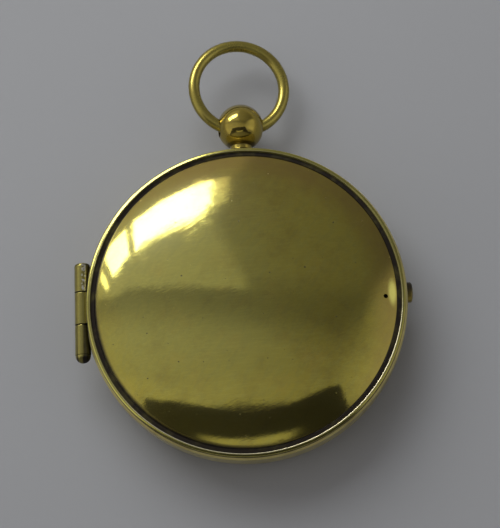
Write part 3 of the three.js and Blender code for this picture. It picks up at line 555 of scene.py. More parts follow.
def finish(piece, body, material, replaces=(), sharp=math.radians(32)):
    """Shades a piece, gives it its material, ties it to its body, and hides the nodes it replaces."""
    piece.data.shade_smooth()
    piece.data.set_sharp_from_angle(angle=sharp)
    piece.data.materials.clear()
    piece.data.materials.append(material)
    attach(piece, body)
    if replaces:
        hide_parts(*replaces)
    return piece


# Materials


class Value:
    """A node's output. Arithmetic on it adds Math nodes."""

    def __init__(self, shader, socket):
        self.shader = shader
        self.socket = socket

    def math(self, operation, *others):
        """One Math node on this value and the others."""
        return self.shader.add("ShaderNodeMath", {"operation": operation}, [self, *others])[0]

    def __add__(self, other):
        return self.math("ADD", other)

    __radd__ = __add__

    def __sub__(self, other):
        return self.math("SUBTRACT", other)

    def __rsub__(self, other):
        return self.shader.add("ShaderNodeMath", {"operation": "SUBTRACT"}, [other, self])[0]

    def __mul__(self, other):
        return self.math("MULTIPLY", other)

    __rmul__ = __mul__

    def __truediv__(self, other):
        return self.math("DIVIDE", other)

    def __pow__(self, other):
        return self.math("POWER", other)

    def __neg__(self):
        return self * -1

    def __abs__(self):
        return self.math("ABSOLUTE")

    def capped(self, limit=1.0):
        """The value, but never more than the limit."""
        return self.math("MINIMUM", limit)


class Shader:
    """A material or world whose nodes are added one by one."""

    def __init__(self, owner):
        owner.use_nodes = True
        self.owner = owner
        self.tree = owner.node_tree
        self.tree.nodes.clear()

    def add(self, kind, settings=None, inputs=()):
        """Adds a node, sets it up, feeds its sockets by place or name, and gives its outputs."""
        node = self.tree.nodes.new(kind)
        for key, value in (settings or {}).items():
            setattr(node, key, value)
        pairs = inputs.items() if isinstance(inputs, dict) else enumerate(inputs)
        for key, value in pairs:
            if isinstance(value, Value):
                self.tree.links.new(value.socket, node.inputs[key])
            else:
                node.inputs[key].default_value = value
        return [Value(self, socket) for socket in node.outputs if socket.enabled]

    def place(self):
        """Object coordinates, in metres."""
        return self.add("ShaderNodeTexCoord")[3]

    def parts(self, vector):
        """The X, Y and Z of a vector."""
        return self.add("ShaderNodeSeparateXYZ", inputs=[vector])

    def noise(self, vector, scale, detail=3.0, rough=0.55, distortion=0.0):
        """Soft noise round 0.5, scale in waves per metre."""
        inputs = {
            "Vector": vector,
            "Scale": scale,
            "Detail": detail,
            "Roughness": rough,
            "Distortion": distortion,
        }
        return self.add("ShaderNodeTexNoise", {"noise_dimensions": "3D"}, inputs)[0]

    def stretched(self, vector, turn_by, scale):
        """The vector turned about Z and scaled unevenly, for marks with a direction."""
        inputs = {"Vector": vector, "Rotation": (0, 0, turn_by), "Scale": scale}
        return self.add("ShaderNodeMapping", {"vector_type": "TEXTURE"}, inputs)[0]

    def step(self, value, start, end):
        """0 before start and 1 after end, with a smooth way between them."""
        inputs = {"Value": value, "From Min": start, "From Max": end}
        return self.add("ShaderNodeMapRange", {"interpolation_type": "SMOOTHSTEP"}, inputs)[0]

    def fall(self, value, start, end):
        """1 before start and 0 after end, with a smooth way between them."""
        return 1 - self.step(value, start, end)

    def band(self, value, core, end):
        """1 where the value is no further than core from zero, and 0 past end."""
        return self.fall(abs(value), core, end)

    def mix(self, factor, first, second):
        """A colour that goes from first to second."""
        node = self.tree.nodes.new("ShaderNodeMix")
        node.data_type = "RGBA"
        for key, value in ((0, factor), (6, first), (7, second)):
            if isinstance(value, Value):
                self.tree.links.new(value.socket, node.inputs[key])
            else:
                node.inputs[key].default_value = value if key == 0 else (*value, 1)
        return Value(self, node.outputs[2])

    def bump(self, height, distance, strength=1.0, normal=None):
        """A normal bent by a height, whose full swing stands for distance in metres."""
        inputs = {"Height": height, "Distance": distance, "Strength": strength}
        if normal is not None:
            inputs["Normal"] = normal
        return self.add("ShaderNodeBump", inputs=inputs)[0]

    def surface(self, **sockets):
        """The closing Principled shader, whose sockets are named with underscores for spaces."""
        inputs = {key.replace("_", " "): value for key, value in sockets.items()}
        shader = self.add("ShaderNodeBsdfPrincipled", inputs=inputs)[0]
        self.add("ShaderNodeOutputMaterial", inputs=[shader])
        return self.owner


def shader_for(name):
    """An empty material by that name, ready for nodes."""
    return Shader(bpy.data.materials.new(name))


def scaled(base, factors):
    """A colour times a factor, or times one for each channel, and never past 1."""
    return tuple(float(value) for value in np.minimum(1.0, np.multiply(tuple(base), factors)))


def distance(first, second):
    """How far two values together lie from zero: the root of the sum of their squares."""
    return (first * first + second * second) ** 0.5


def drawn_out(shader, place, turn_by, along, across, **noise):
    """Noise drawn out in one direction, in waves per metre along and across it."""
    drawn = shader.stretched(place, turn_by, (1 / along, 1 / across, 1 / across))
    return shader.noise(drawn, 1.0, **noise)


def hairlines(shader, place, turn_by, across, along, width):
    """Fine scratches: the places where noise drawn out along one direction crosses its middle."""
    wave = drawn_out(shader, place, turn_by, along, across, detail=1.5)
    return shader.band(wave - 0.5, 0.0, width)


def brass(name, base, wear=1.0, roughness=0.17, tarnish=0.35, lumps=1.0, metallic=1.0, **marks):
    """Old brass, with its marks of wear and use.

    The colour goes from base to a deeper gold by a broad noise and the warm mask, which on the lid is a
    painted reflection tone. Over it lie a fine mottle, soft copper patches, a darker veil and pale rubs, both
    drawn out in one direction, brown tarnish in clouds, hairlines and small pits. The masks in marks add their
    own: film a thin brown film; the bright mask and crest a paler tone, which is a painted highlight; solder
    grey; and the dark mask darkening, which is partly dirt and partly painted shade. Each is a function of the
    shader and the place. Roughness rises with all of them but warm and the bright mask, and with the clouds,
    the tarnish, the hairlines and the pits. The height adds broad waves, ripples, polishing strokes,
    hairlines and pits. A thin hazy coat gives each reflection a soft rim. Wear scales
    the marks of use, lumps the ripples, and metallic how far the whole is metal and not dull.
    """
    shades = bpy.context.scene.compass_colours
    shader = shader_for(name)
    place = shader.place()
    mask = {key: make(shader, place) for key, make in marks.items()}
    broad = shader.noise(place, 75, detail=2)
    cloud = shader.noise(place, 420, detail=5, rough=0.62)
    fine = shader.noise(place, 2600, detail=3, rough=0.6)
    ripple = shader.noise(place, 420, detail=1)
    strokes = drawn_out(shader, place, 0.42, 420, 3600, detail=2, rough=0.5, distortion=0.7)
    scratches = hairlines(shader, place, 0.55, 3800, 60, 0.012)
    scratches = scratches + hairlines(shader, place, -0.42, 4400, 50, 0.010)
    scratches = scratches + hairlines(shader, place, 1.35, 3300, 70, 0.008)
    sparse = shader.step(shader.noise(place, 210, detail=2), 0.46, 0.66)
    scratches = scratches * sparse * wear
    pits = pit_mask(shader, place) * wear

    gold = 0.35 * broad
    # On the lid the warm mask is a painted reflection tone
    if "warm" in mask:
        gold = gold + mask["warm"]
    gold = gold.capped()
    tone = shader.mix(gold, tuple(base), scaled(base, (1.0, 0.91, 0.50)))
    tone = shader.mix(fine * 0.25, tone, scaled(base, 0.82))
    copper = shader.step(shader.noise(place, 190, detail=3), 0.50, 0.72)
    tone = shader.mix(copper * 0.30 * wear, tone, scaled(base, (1.06, 0.86, 0.70)))
    veil = drawn_out(shader, place, 0.9, 450, 1500, detail=3, rough=0.6, distortion=1.0)
    tone = shader.mix(shader.step(veil, 0.42, 0.64) * 0.22 * wear, tone, scaled(base, (0.74, 0.80, 1.0)))
    rubs = drawn_out(shader, place, 0.06, 260, 5200, detail=2)
    tone = shader.mix(shader.step(rubs, 0.46, 0.66) * 0.16 * wear, tone, scaled(base, 1.3))
    stain = shader.step(cloud + 0.6 * (broad - 0.5), 0.40, 0.95) * tarnish
    tone = shader.mix((stain + 0.22 * gold * cloud).capped(0.8), tone, tuple(shades.tarnish))
    tone = shader.mix(scratches * 0.14, tone, scaled(base, 1.4))
    tone = shader.mix(pits * 0.92, tone, tuple(shades.grime))
    rough = roughness + 0.05 * (cloud - 0.5) + 0.06 * stain + 0.08 * scratches + 0.3 * pits
    if "film" in mask:
        film = mask["film"] * (0.7 + 0.6 * cloud)
        tone = shader.mix(film * 0.8, tone, tuple(shades.film))
        rough = rough + 0.02 * film
    # The bright mask paints a paler tone: a painted highlight
    if "polish" in mask:
        tone = shader.mix(mask["polish"], tone, scaled(base, 1.9))
    # Crest paints a pale glint, a painted highlight; solder is real grey metal
    for key, shade, rise in (("crest", shades.crest, 0.18), ("solder", shades.solder, 0.15)):
        if key in mask:
            tone = shader.mix(mask[key], tone, tuple(shade))
            rough = rough + rise * mask[key]
    # The dark mask is partly dirt and partly painted shade
    if "grime" in mask:
        dirt = (mask["grime"] * (0.72 + 0.56 * cloud)).capped()
        tone = shader.mix(dirt, tone, tuple(shades.grime))
        rough = rough + 0.4 * dirt

    height = shader.bump(broad, 0.02 * MM, 0.5)
    height = shader.bump(ripple + 0.12 * fine, 0.0010 * lumps * MM, 0.6, height)
    height = shader.bump(strokes * shader.step(cloud, 0.35, 0.65), 0.0045 * wear * MM, 1.0, height)
    height = shader.bump(-scratches, 0.0003 * MM, 1.0, height)
    height = shader.bump(-pits, 0.004 * MM, 1.0, height)
    return shader.surface(
        Base_Color=tone,
        Metallic=metallic * (1 - 0.5 * pits),
        Roughness=rough,
        Coat_Weight=0.3,
        Coat_Roughness=0.24,
        Normal=height,
    )


def pit_mask(shader, place):
    """Small round pits, one in most cells of a Voronoi pattern and of many sizes.

    A cell's random colour is its chance: the least of them have no pit, and the others' radii grow with
    its square, as shares of a cell.
    """
    away, cell_colour = shader.add(
        "ShaderNodeTexVoronoi",
        {"voronoi_dimensions": "2D", "feature": "F1"},
        {"Vector": place, "Scale": 240.0, "Randomness": 1.0},
    )[:2]
    chance = shader.parts(cell_colour)[0]
    size = 0.011 + 0.028 * chance * chance
    return shader.fall(away / size, 0.40, 1.0) * shader.step(chance, 0.15, 0.20)


def metal(name, base, roughness=0.3, cloudiness=0.3):
    """Plain turned metal: a little clouding, with fine marks in its roughness and height."""
    shader = shader_for(name)
    place = shader.place()
    cloud = shader.noise(place, 900, detail=4)
    fine = shader.noise(place, 5200, detail=2)
    marks = hairlines(shader, place, 0.8, 9000, 700, 0.02) * 0.5
    tone = shader.mix(cloud * cloudiness, tuple(base), scaled(base, 0.55))
    tone = shader.mix(marks * 0.2, tone, scaled(base, 1.5))
    rough = roughness + 0.16 * cloud + 0.12 * marks
    height = shader.bump(fine + marks, 0.002 * MM, 0.6)
    return shader.surface(Base_Color=tone, Metallic=1.0, Roughness=rough, Normal=height)


def card_material(name, base):
    """Aged card: yellowing in clouds and towards its edge, and small brown spots, over a felt grain."""
    shader = shader_for(name)
    place = shader.place()
    cloud = shader.noise(place, 240, detail=5)
    fibre = shader.noise(place, 7000, detail=3)
    foxing = shader.step(shader.noise(place, 900, detail=2), 0.70, 0.80)
    edge = shader.step(reach_of(shader, place), 13.5 * MM, 17.8 * MM)
    tone = shader.mix(cloud * 0.5, tuple(base), scaled(base, (0.93, 0.86, 0.72)))
    tone = shader.mix(edge * 0.55, tone, scaled(base, (0.80, 0.69, 0.48)))
    tone = shader.mix(foxing * 0.5, tone, (0.42, 0.25, 0.10))
    height = shader.bump(fibre, 0.01 * MM, 0.4)
    return shader.surface(Base_Color=tone, Roughness=0.72 + 0.12 * fibre, Normal=height)


def ink_material(name, base):
    """Printing ink, a little worn and uneven."""
    shader = shader_for(name)
    place = shader.place()
    cloud = shader.noise(place, 1600, detail=4)
    tone = shader.mix(shader.step(cloud, 0.45, 0.85) * 0.35, tuple(base), (0.16, 0.14, 0.11))
    return shader.surface(Base_Color=tone, Roughness=0.45 + 0.25 * cloud)


def glass_material(name):
    """Clear glass that lets the lamps' rays through, so that the dial under it is lit.

    Shadow rays and diffuse rays meet a plain transparent surface, and all others the glass.
    """
    shader = shader_for(name)
    clear = {
        "Base Color": (0.97, 0.985, 0.975, 1),
        "Roughness": 0.02,
        "IOR": 1.25,
        "Transmission Weight": 1.0,
    }
    glass = shader.add("ShaderNodeBsdfPrincipled", inputs=clear)[0]
    open_air = shader.add("ShaderNodeBsdfTransparent", inputs=[(0.95, 0.97, 0.96, 1)])[0]
    _, shadow_ray, diffuse_ray = shader.add("ShaderNodeLightPath")[:3]
    factor = shadow_ray.math("MAXIMUM", diffuse_ray)
    mixed = shader.add("ShaderNodeMixShader", inputs=[factor, glass, open_air])[0]
    shader.add("ShaderNodeOutputMaterial", inputs=[mixed])
    return shader.owner


def agate_material(name):
    """Banded brown stone."""
    shader = shader_for(name)
    place = shader.place()
    bands = shader.noise(place, 3000, detail=3, distortion=1.2)
    tone = shader.mix(bands, (0.30, 0.10, 0.05), (0.55, 0.28, 0.15))
    return shader.surface(Base_Color=tone, Roughness=0.12 + 0.08 * bands)


def table_material(name, base):
    """A plain matt table top with a barely seen mottle, and painted shade that makes it a little darker
    towards the near right.
    """
    shader = shader_for(name)
    place = shader.place()
    broad = shader.noise(place, 14, detail=3)
    grain = shader.noise(place, 900, detail=3)
    x, y, _ = shader.parts(place)
    # Painted shade: the table turns a little darker towards the near right
    lean = shader.step(0.8 * y - 0.6 * x, -0.045, 0.055)
    tone = shader.mix(lean * 0.85 + 0.1 * broad, scaled(base, 0.90), tuple(base))
    height = shader.bump(grain, 0.02 * MM, 0.2)
    return shader.surface(Base_Color=tone, Roughness=0.62 + 0.08 * grain, Normal=height)


# Where dirt and wear gather, by place


def reach_of(shader, place):
    """Distance of a place from the case's axis."""
    x, y, _ = shader.parts(place)
    return distance(x, y)


def lid_edge_dirt(shader, place):
    """Darkening at the foot of the dome, where it meets the gutter, wider on the hinge's and the near side."""
    x, y, _ = shader.parts(place)
    wear = bpy.context.scene.compass_wear
    edge = high("lid_shell")[1]
    side = shader.fall(0.8 * x + 0.6 * y, -15 * MM, -2 * MM)
    start = edge - wear.dome_dirt - wear.dome_dirt_side * side
    return shader.step((reach_of(shader, place) - start) / (edge - start), 0.0, 1.0)


def lid_warmth(shader, place):
    """Painted reflection tone: deeper gold on the right of the dome, along its edge and on the near side."""
    x, y, _ = shader.parts(place)
    lean = shader.step(x + 0.25 * y, -4 * MM, 12 * MM)
    edge = shader.step(reach_of(shader, place), 16.0 * MM, 20.6 * MM)
    south = shader.fall(y, -16 * MM, -3 * MM)
    return lean * 0.75 + edge * 0.45 + south * 0.6


def lid_film(shader, place):
    """A coppery film along the lid's edge, widest on the far and the right side, and a haze at the top.

    Its streaks are noise by (distance from the axis, direction from it), so that they run round the lid.
    """
    x, y, _ = shader.parts(place)
    wear = bpy.context.scene.compass_wear
    edge = high("lid_shell")[1]
    side = shader.step(0.7 * x + y, -6 * MM, 12 * MM)
    start = edge - wear.film - wear.film_side * side
    reach = reach_of(shader, place)
    around = shader.add("ShaderNodeCombineXYZ", inputs=[reach * 2600, x / reach * 5, y / reach * 5])[0]
    streaks = 0.6 + 0.8 * shader.noise(around, 1.0, detail=2)
    band = shader.step((reach - start) / (edge - start), 0.0, 0.9) * streaks
    haze = shader.step(y, 8 * MM, 19 * MM) * shader.band(x, 6 * MM, 14 * MM)
    return (band * (0.15 + 0.6 * side) + 0.2 * haze).capped()


def lid_polish(shader, place):
    """A painted highlight: a bright patch between the small hole and the lid's edge, long from north to south.
    """
    x, y, _ = shader.parts(place)
    wear = bpy.context.scene.compass_wear
    across = x - wear.patch
    away = (across * across + 0.10 * (y * y)) ** 0.5
    return shader.fall(away, wear.patch_core, wear.patch_end)


def rim_dirt(shader, place):
    """Darkening in the gutter and at the foot of the rim's edge."""
    _, _, z = shader.parts(place)
    lid = bpy.context.scene.compass_lid
    top = high("lid_rim")[2]
    outer = high("lid_rim")[1]
    reach = reach_of(shader, place)
    bank = outer - 2 * lid.outer_bead - 2 * lid.inner_bead
    gutter = shader.fall(reach, bank - 0.05 * MM, bank + 0.02 * MM)
    foot = shader.step(reach, outer - 0.05 * MM, outer - 0.01 * MM)
    foot = foot * shader.fall(z, top - 0.52 * MM, top - 0.34 * MM)
    return (gutter + foot).capped()


def rim_crest(shader, place):
    """A painted glint along the crest of the rim's inner bead, palest on the near side."""
    x, y, z = shader.parts(place)
    lid = bpy.context.scene.compass_lid
    top = high("lid_rim")[2]
    crest = high("lid_rim")[1] - 2 * lid.outer_bead - lid.inner_bead
    line = shader.band(reach_of(shader, place) - crest, 0.03 * MM, 0.075 * MM)
    line = line * (0.2 + 0.8 * shader.step(0.34 * x - 0.94 * y, 4 * MM, 12 * MM))
    return line * shader.step(z, top - 0.10 * MM, top - 0.04 * MM)


def rim_polish(shader, place):
    """A painted highlight along the outer bead's edge, on the hinge's side towards the camera."""
    x, y, _ = shader.parts(place)
    edge = high("lid_rim")[1] - bpy.context.scene.compass_wear.rub_inset
    line = shader.band(reach_of(shader, place) - edge, 0.03 * MM, 0.08 * MM)
    return 0.6 * line * shader.step(-0.87 * x - 0.5 * y, 15 * MM, 20 * MM)


def case_dirt(shader, place):
    """Dirt in the seam under the lid, painted shadow of the barrel round the hinge, and darkening round the
    push piece and the pendant's foot.
    """
    x, y, z = shader.parts(place)
    wear = bpy.context.scene.compass_wear
    radius = bpy.context.scene.compass_case.radius
    lip = high("case_body")[2]
    inside = radius - wear.seam_reach
    seam = shader.step(z, lip - wear.seam, lip - 0.05 * MM)
    seam = seam * shader.fall(reach_of(shader, place), inside, inside + 0.06 * MM)
    hinge_x, _, hinge_z = joint("lid_hinge")["pos_m"]
    barrel = bpy.context.scene.compass_hinge.barrel
    southward = 0.55 * MM
    # Painted shadow of the hinge's barrel on the case
    hinge = shader.fall(distance(x - hinge_x, z - hinge_z), barrel + 0.12 * MM, barrel + wear.hinge_ring)
    hinge = hinge * shader.band(y + southward, 7.2 * MM, 7.7 * MM)
    push = middle("catch_button")
    push_ring = shader.fall(distance(y - push[1], z - push[2]), 1.5 * MM, wear.push_ring)
    push_ring = push_ring * shader.step(x, 20 * MM, 21 * MM)
    neck_ring = shader.fall(distance(x, z - joint("bow_swing")["pos_m"][2]), 2.0 * MM, wear.neck_ring)
    neck_ring = neck_ring * shader.step(y, 20 * MM, 21 * MM)
    return (0.85 * seam + 0.85 * hinge + 0.8 * push_ring + 0.7 * neck_ring).capped()


def push_dirt(shader, place):
    """Painted shade round the push piece's crown and down its side, darker towards the north."""
    _, y, z = shader.parts(place)
    push = middle("catch_button")
    away = distance(y - push[1], z - push[2])
    # Painted shade: dark round the crown's edge, more so towards the north
    return shader.step(away + 0.35 * (y - push[1]), 0.85 * MM, 1.45 * MM) * 0.9


def knuckle_dirt(shader, place):
    """Painted shade on the barrel's case side, dirt at the joints, and darkening on the pin's south head.

    On the south knuckle the painted shade is widest, and a dark line runs along its outer side: a painted
    reflection.
    """
    x, y, _ = shader.parts(place)
    hinge_x = joint("lid_hinge")["pos_m"][0]
    joint_y = half("lid_hinge_knuckle")[1]
    south = shader.fall(y, -joint_y - 0.1 * MM, -joint_y)
    # Painted shade on the barrel's case side, wider on the south knuckle
    inward = shader.step(x - hinge_x + 0.45 * MM * south, 0.30 * MM, 0.80 * MM)
    # A painted dark reflection line along the outer side, used on the south knuckle only
    line = shader.band(x - hinge_x + 0.68 * MM, 0.05 * MM, 0.14 * MM)
    seam = shader.band(abs(y) - joint_y - 0.05 * MM, 0.05 * MM, 0.16 * MM)
    head_end = low("hinge_pin")[1]
    head = shader.fall(y, head_end + 0.5 * MM, head_end + 1.0 * MM)
    return (0.85 * inward + 0.7 * seam + 0.6 * line * south + 0.5 * head).capped()


def knuckle_solder(shader, place):
    """Grey specks of old solder on the north knuckle, towards the case."""
    x, y, _ = shader.parts(place)
    hinge_x = joint("lid_hinge")["pos_m"][0]
    joint_y = half("lid_hinge_knuckle")[1]
    north = shader.step(y, joint_y + 0.1 * MM, joint_y + 0.3 * MM)
    inward = shader.step(x - hinge_x, -0.10 * MM, 0.15 * MM)
    inward = inward * shader.fall(x - hinge_x, 0.55 * MM, 0.75 * MM)
    specks = shader.step(shader.noise(place, 2600, detail=3), 0.46, 0.54)
    return inward * north * specks


def pendant_dirt(shader, place):
    """Darkening in the corner between the ball and its neck, and at the neck's foot."""
    _, y, _ = shader.parts(place)
    wear = bpy.context.scene.compass_wear
    wall = bpy.context.scene.compass_case.radius
    ball = bpy.context.scene.compass_pendant.ball
    corner = high("pendant")[1] - ball - math.sqrt(ball**2 - wear.corner**2)
    foot = shader.fall(y, wall + 0.25 * MM, wall + 0.6 * MM)
    ring = shader.band(y - corner, 0.08 * MM, 0.34 * MM)
    return (0.75 * foot + 0.7 * ring).capped()


# Pieces


class COMPASS_OT_case(bpy.types.Operator):
    """Builds the turned case with its let-in hinge seat, leaf notch and push-piece hole"""

    bl_idname = "compass.case"
    bl_label = "Case"

    def execute(self, context):
        sizes = context.scene.compass_case
        hinge = context.scene.compass_hinge
        catch = context.scene.compass_catch
        shades = context.scene.compass_colours
        piece = turned("case", case_outline(sizes), WIDE_STEPS)
        hinge_x, _, hinge_z = joint("lid_hinge")["pos_m"]
        seat = pin(
            "cut",
            hinge.barrel + hinge.scallop,
            low("hinge_pin")[1] - hinge.scallop,
            high("hinge_pin")[1] + hinge.scallop,
            ROD_STEPS,
            shifted(hinge_x, 0, hinge_z, along_y),
        )
        leaf = high("lid_hinge_knuckle")[1] + hinge.leaf_play
        notch = block(
            "cut",
            [hinge_x, -leaf, hinge_z + hinge.leaf_drop - hinge.leaf_play],
            [-sizes.radius + sizes.wall + hinge.leaf_play, leaf, sizes.lip_height + PAST],
        )
        push = middle("catch_button")
        opening = pin(
            "cut",
            catch.shank + catch.play,
            sizes.radius - sizes.wall - PAST,
            sizes.radius + PAST,
            ROD_STEPS,
            shifted(0, push[1], push[2], along_x),
        )
        combine(piece, "DIFFERENCE", [seat, notch, opening])
        look = dict(roughness=0.34, tarnish=0.5, metallic=0.7)
        # The dark mask here holds dirt in the seam and painted shadow round the hinge
        case_brass = brass("aged brass", shades.case, grime=case_dirt, **look)
        finish(piece, "case", case_brass, ["case_body"])
        return {"FINISHED"}


def case_outline(sizes):
    """Outline of the cup, from the middle of the base outwards, up the wall and down inside.

    The back is a quarter of a superellipse: with n for the fullness and a for an angle, it goes from
    the flat base by sin(a)^(2/n) outwards and by cos(a)^(2/n) up to the wall.
    """
    radius, lip, edge = sizes.radius, sizes.lip_height, sizes.edge
    foot = radius - sizes.back_rounding
    wall_foot = lip - sizes.upright
    wall_start = wall_foot + 0.2 * MM
    bore = radius - sizes.wall
    mouth = bore + sizes.mouth_step
    mouth_floor = lip - sizes.mouth_depth
    ledge = bore - sizes.ledge_width
    ledge_top = low("dial_plate")[2]
    lip_outer = radius - sizes.lip_inset
    chamfer, soft = sizes.chamfer, sizes.chamfer_edge
    floor_start = 1 * MM
    back_steps = 37
    swing = np.linspace(0, np.pi / 2, back_steps)
    power = 2 / sizes.fullness
    back = np.column_stack(
        [
            foot + sizes.back_rounding * np.sin(swing) ** power,
            wall_foot - wall_foot * np.cos(swing) ** power,
        ]
    )
    upper = rounded(
        [
            [radius, wall_start, 0],
            [radius, lip - sizes.lip_roll, sizes.roll_rounding],
            [lip_outer, lip - chamfer, soft],
            [lip_outer - chamfer, lip, soft],
            [mouth + chamfer, lip, soft],
            [mouth, lip - chamfer, soft],
            [mouth, mouth_floor, edge],
            [bore, mouth_floor, edge],
            [bore, ledge_top, edge],
            [ledge, ledge_top, edge],
            [ledge, sizes.floor + sizes.corner_height, edge],
            [ledge - sizes.corner_width, sizes.floor, edge],
            [floor_start, sizes.floor, 0],
        ]
    )
    return np.vstack([[[0, 0]], back, starting_at(upper, radius, wall_start), [[0, sizes.floor]]])


def dome_slopes(sizes, edge_radius):
    """Slopes of the dome's section where its two arcs meet and at its edge."""
    crown_reach = edge_radius * sizes.crown_share
    shoulder = math.asin(crown_reach / sizes.crown_radius)
    edge = math.asin(math.sin(shoulder) + (edge_radius - crown_reach) / sizes.shoulder_radius)
    return shoulder, edge


def dome_section(sizes, edge_radius, top, slope, inset):
    """Points of the dome's section at the given slopes, moved inwards by inset.

    The wide crown arc starts on the axis with slope 0. Past the shoulder's slope the tighter arc
    carries on from it, so that the section has no corner.
    """
    shoulder, _ = dome_slopes(sizes, edge_radius)
    crown_drop = sizes.crown_radius * (1 - math.cos(shoulder))
    past = slope > shoulder
    bend = np.where(past, sizes.shoulder_radius, sizes.crown_radius)
    start = np.where(past, shoulder, 0.0)
    start_radius = np.where(past, sizes.crown_radius * math.sin(shoulder), 0.0)
    start_drop = np.where(past, crown_drop, 0.0)
    radius = start_radius + bend * (np.sin(slope) - np.sin(start)) - inset * np.sin(slope)
    drop = start_drop + bend * (np.cos(start) - np.cos(slope)) + inset * np.cos(slope)
    return np.column_stack([radius, top - drop])


class COMPASS_OT_lid(bpy.types.Operator):
    """Builds the pressed dome with its small hole, and the beaded rim with its skirt"""

    bl_idname = "compass.lid"
    bl_label = "Lid"

    def execute(self, context):
        sizes = context.scene.compass_lid
        case = context.scene.compass_case
        shades = context.scene.compass_colours
        dome = turned("lid_dome", dome_outline(sizes), WIDE_STEPS)
        hole = pin(
            "cut",
            sizes.hole_radius,
            low("lid_shell")[2] - PAST,
            high("lid_shell")[2] + PAST,
            HOLE_STEPS,
            shifted(high("lid_shell")[1] - sizes.hole_inset, sizes.hole_offset, 0),
        )
        combine(dome, "DIFFERENCE", [hole])
        # Here warm is a painted reflection tone and the bright patch a painted highlight
        marks = dict(grime=lid_edge_dirt, warm=lid_warmth, film=lid_film, polish=lid_polish)
        dome_brass = brass("polished brass", shades.brass, roughness=0.07, tarnish=0.28, **marks)
        finish(dome, "lid", dome_brass, ["lid_shell"])

        rim = turned("lid_rim_ring", rim_outline(sizes), WIDE_STEPS)
        bottom, outer = low("lid_rim")[2], high("lid_rim")[1]
        gap_half = sizes.gap_share * (case.radius - case.wall)
        gap = block(
            "cut",
            [-outer, -gap_half, bottom - PAST],
            [-outer / 2, gap_half, high("lid_rim")[2] - sizes.rim_height],
        )
        push_y = middle("catch_button")[1]
        window = block(
            "cut",
            [sizes.window_inner, push_y - sizes.window_half, bottom + sizes.window_foot],
            [sizes.window_outer, push_y + sizes.window_half, bottom + sizes.window_head],
        )
        combine(rim, "DIFFERENCE", [gap, window])
        # Crest and the edge line here are painted highlights
        marks = dict(grime=rim_dirt, crest=rim_crest, polish=rim_polish)
        rim_brass = brass("rim brass", shades.brass, roughness=0.1, tarnish=0.3, **marks)
        finish(rim, "lid", rim_brass, ["lid_rim"])
        return {"FINISHED"}


def dome_outline(sizes):
    """Outline of the dome: its inner side, its foot and its outer side back to the axis."""
    edge_radius = high("lid_shell")[1]
    top = high("lid_shell")[2]
    shoulder, edge = dome_slopes(sizes, edge_radius)
    steps = 26
    slope = np.concatenate([np.linspace(0, shoulder, steps)[:-1], np.linspace(shoulder, edge, steps)])
    inner = dome_section(sizes, edge_radius, top, slope, sizes.thickness)
    outer = dome_section(sizes, edge_radius, top, slope[::-1], 0.0)
    seat_height = low("lid_shell")[2]
    foot = [[inner[-1, 0], seat_height], [edge_radius, seat_height]]
    return np.vstack([inner, foot, outer])


def rim_outline(sizes):
    """Outline of the rim ring: skirt, outer edge, two beads, gutter floor and inner ledge."""
    outer = high("lid_rim")[1]
    top = high("lid_rim")[2]
    bottom = low("lid_rim")[2]
    foot = top - sizes.rim_height
    gutter = top - sizes.gutter_depth
    dome_edge = high("lid_shell")[1] + sizes.seat
    valley = outer - 2 * sizes.outer_bead
    inner = valley - 2 * sizes.inner_bead
    skirt_inner = sizes.skirt_radius - sizes.skirt
    ledge = skirt_inner - sizes.ledge_width
    seat = low("lid_shell")[2]
    under = seat - sizes.ledge_thickness
    edge, fine, chamfer = 0.05 * MM, 0.03 * MM, 0.1 * MM
    bead_foot = top - 0.2 * MM
    bead_rise = 0.06 * MM
    outer_bead = bead_face(valley, outer, top - bead_rise / 2, sizes.bead_slope)
    crest = ((inner + valley) / 2, top - bead_rise)
    inner_bead = arc(crest, ((valley - inner) / 2, bead_rise), 0, np.pi, 12)
    below = rounded(
        [
            [skirt_inner, bottom, edge],
            [sizes.skirt_radius, bottom, edge],
            [sizes.skirt_radius, foot, 0],
            [outer - chamfer, foot, edge],
            [outer, foot + chamfer, edge],
            [outer, bead_foot, 0],
            [inner, gutter, 0.04 * MM],
            [dome_edge, gutter, fine],
            [dome_edge, seat, 0],
            [ledge, seat, fine],
            [ledge, under, fine],
            [skirt_inner, under, 0],
        ],
        3,
    )
    split = np.argmin(np.hypot(below[:, 0] - outer, below[:, 1] - bead_foot)) + 1
    return np.vstack([below[:split], outer_bead, inner_bead, below[split:]])


def bead_face(inner, outer, top, slope):
    """The outer bead's section, from its outer foot up to its inner foot.

    Its face is an arc whose slope falls from 4 degrees over the given one at the outer edge to 4
    degrees under it at the crest. Short upright feet stand at both ends.
    """
    spread = math.radians(4)
    edge, foot_top, foot_end = 0.03 * MM, 0.02 * MM, 0.06 * MM
    bend = (outer - inner - 2 * edge) / (math.sin(slope + spread) - math.sin(slope - spread))
    centre = (inner + edge - bend * math.sin(slope - spread), top - bend * math.cos(slope - spread))
    face = arc(centre, (bend, bend), np.pi / 2 - slope - spread, np.pi / 2 - slope + spread, 10)
    outer_foot = [[outer, face[0, 1] - foot_end], [outer, face[0, 1] - foot_top]]
    return np.vstack([outer_foot, face, [[inner, top - foot_top]]])


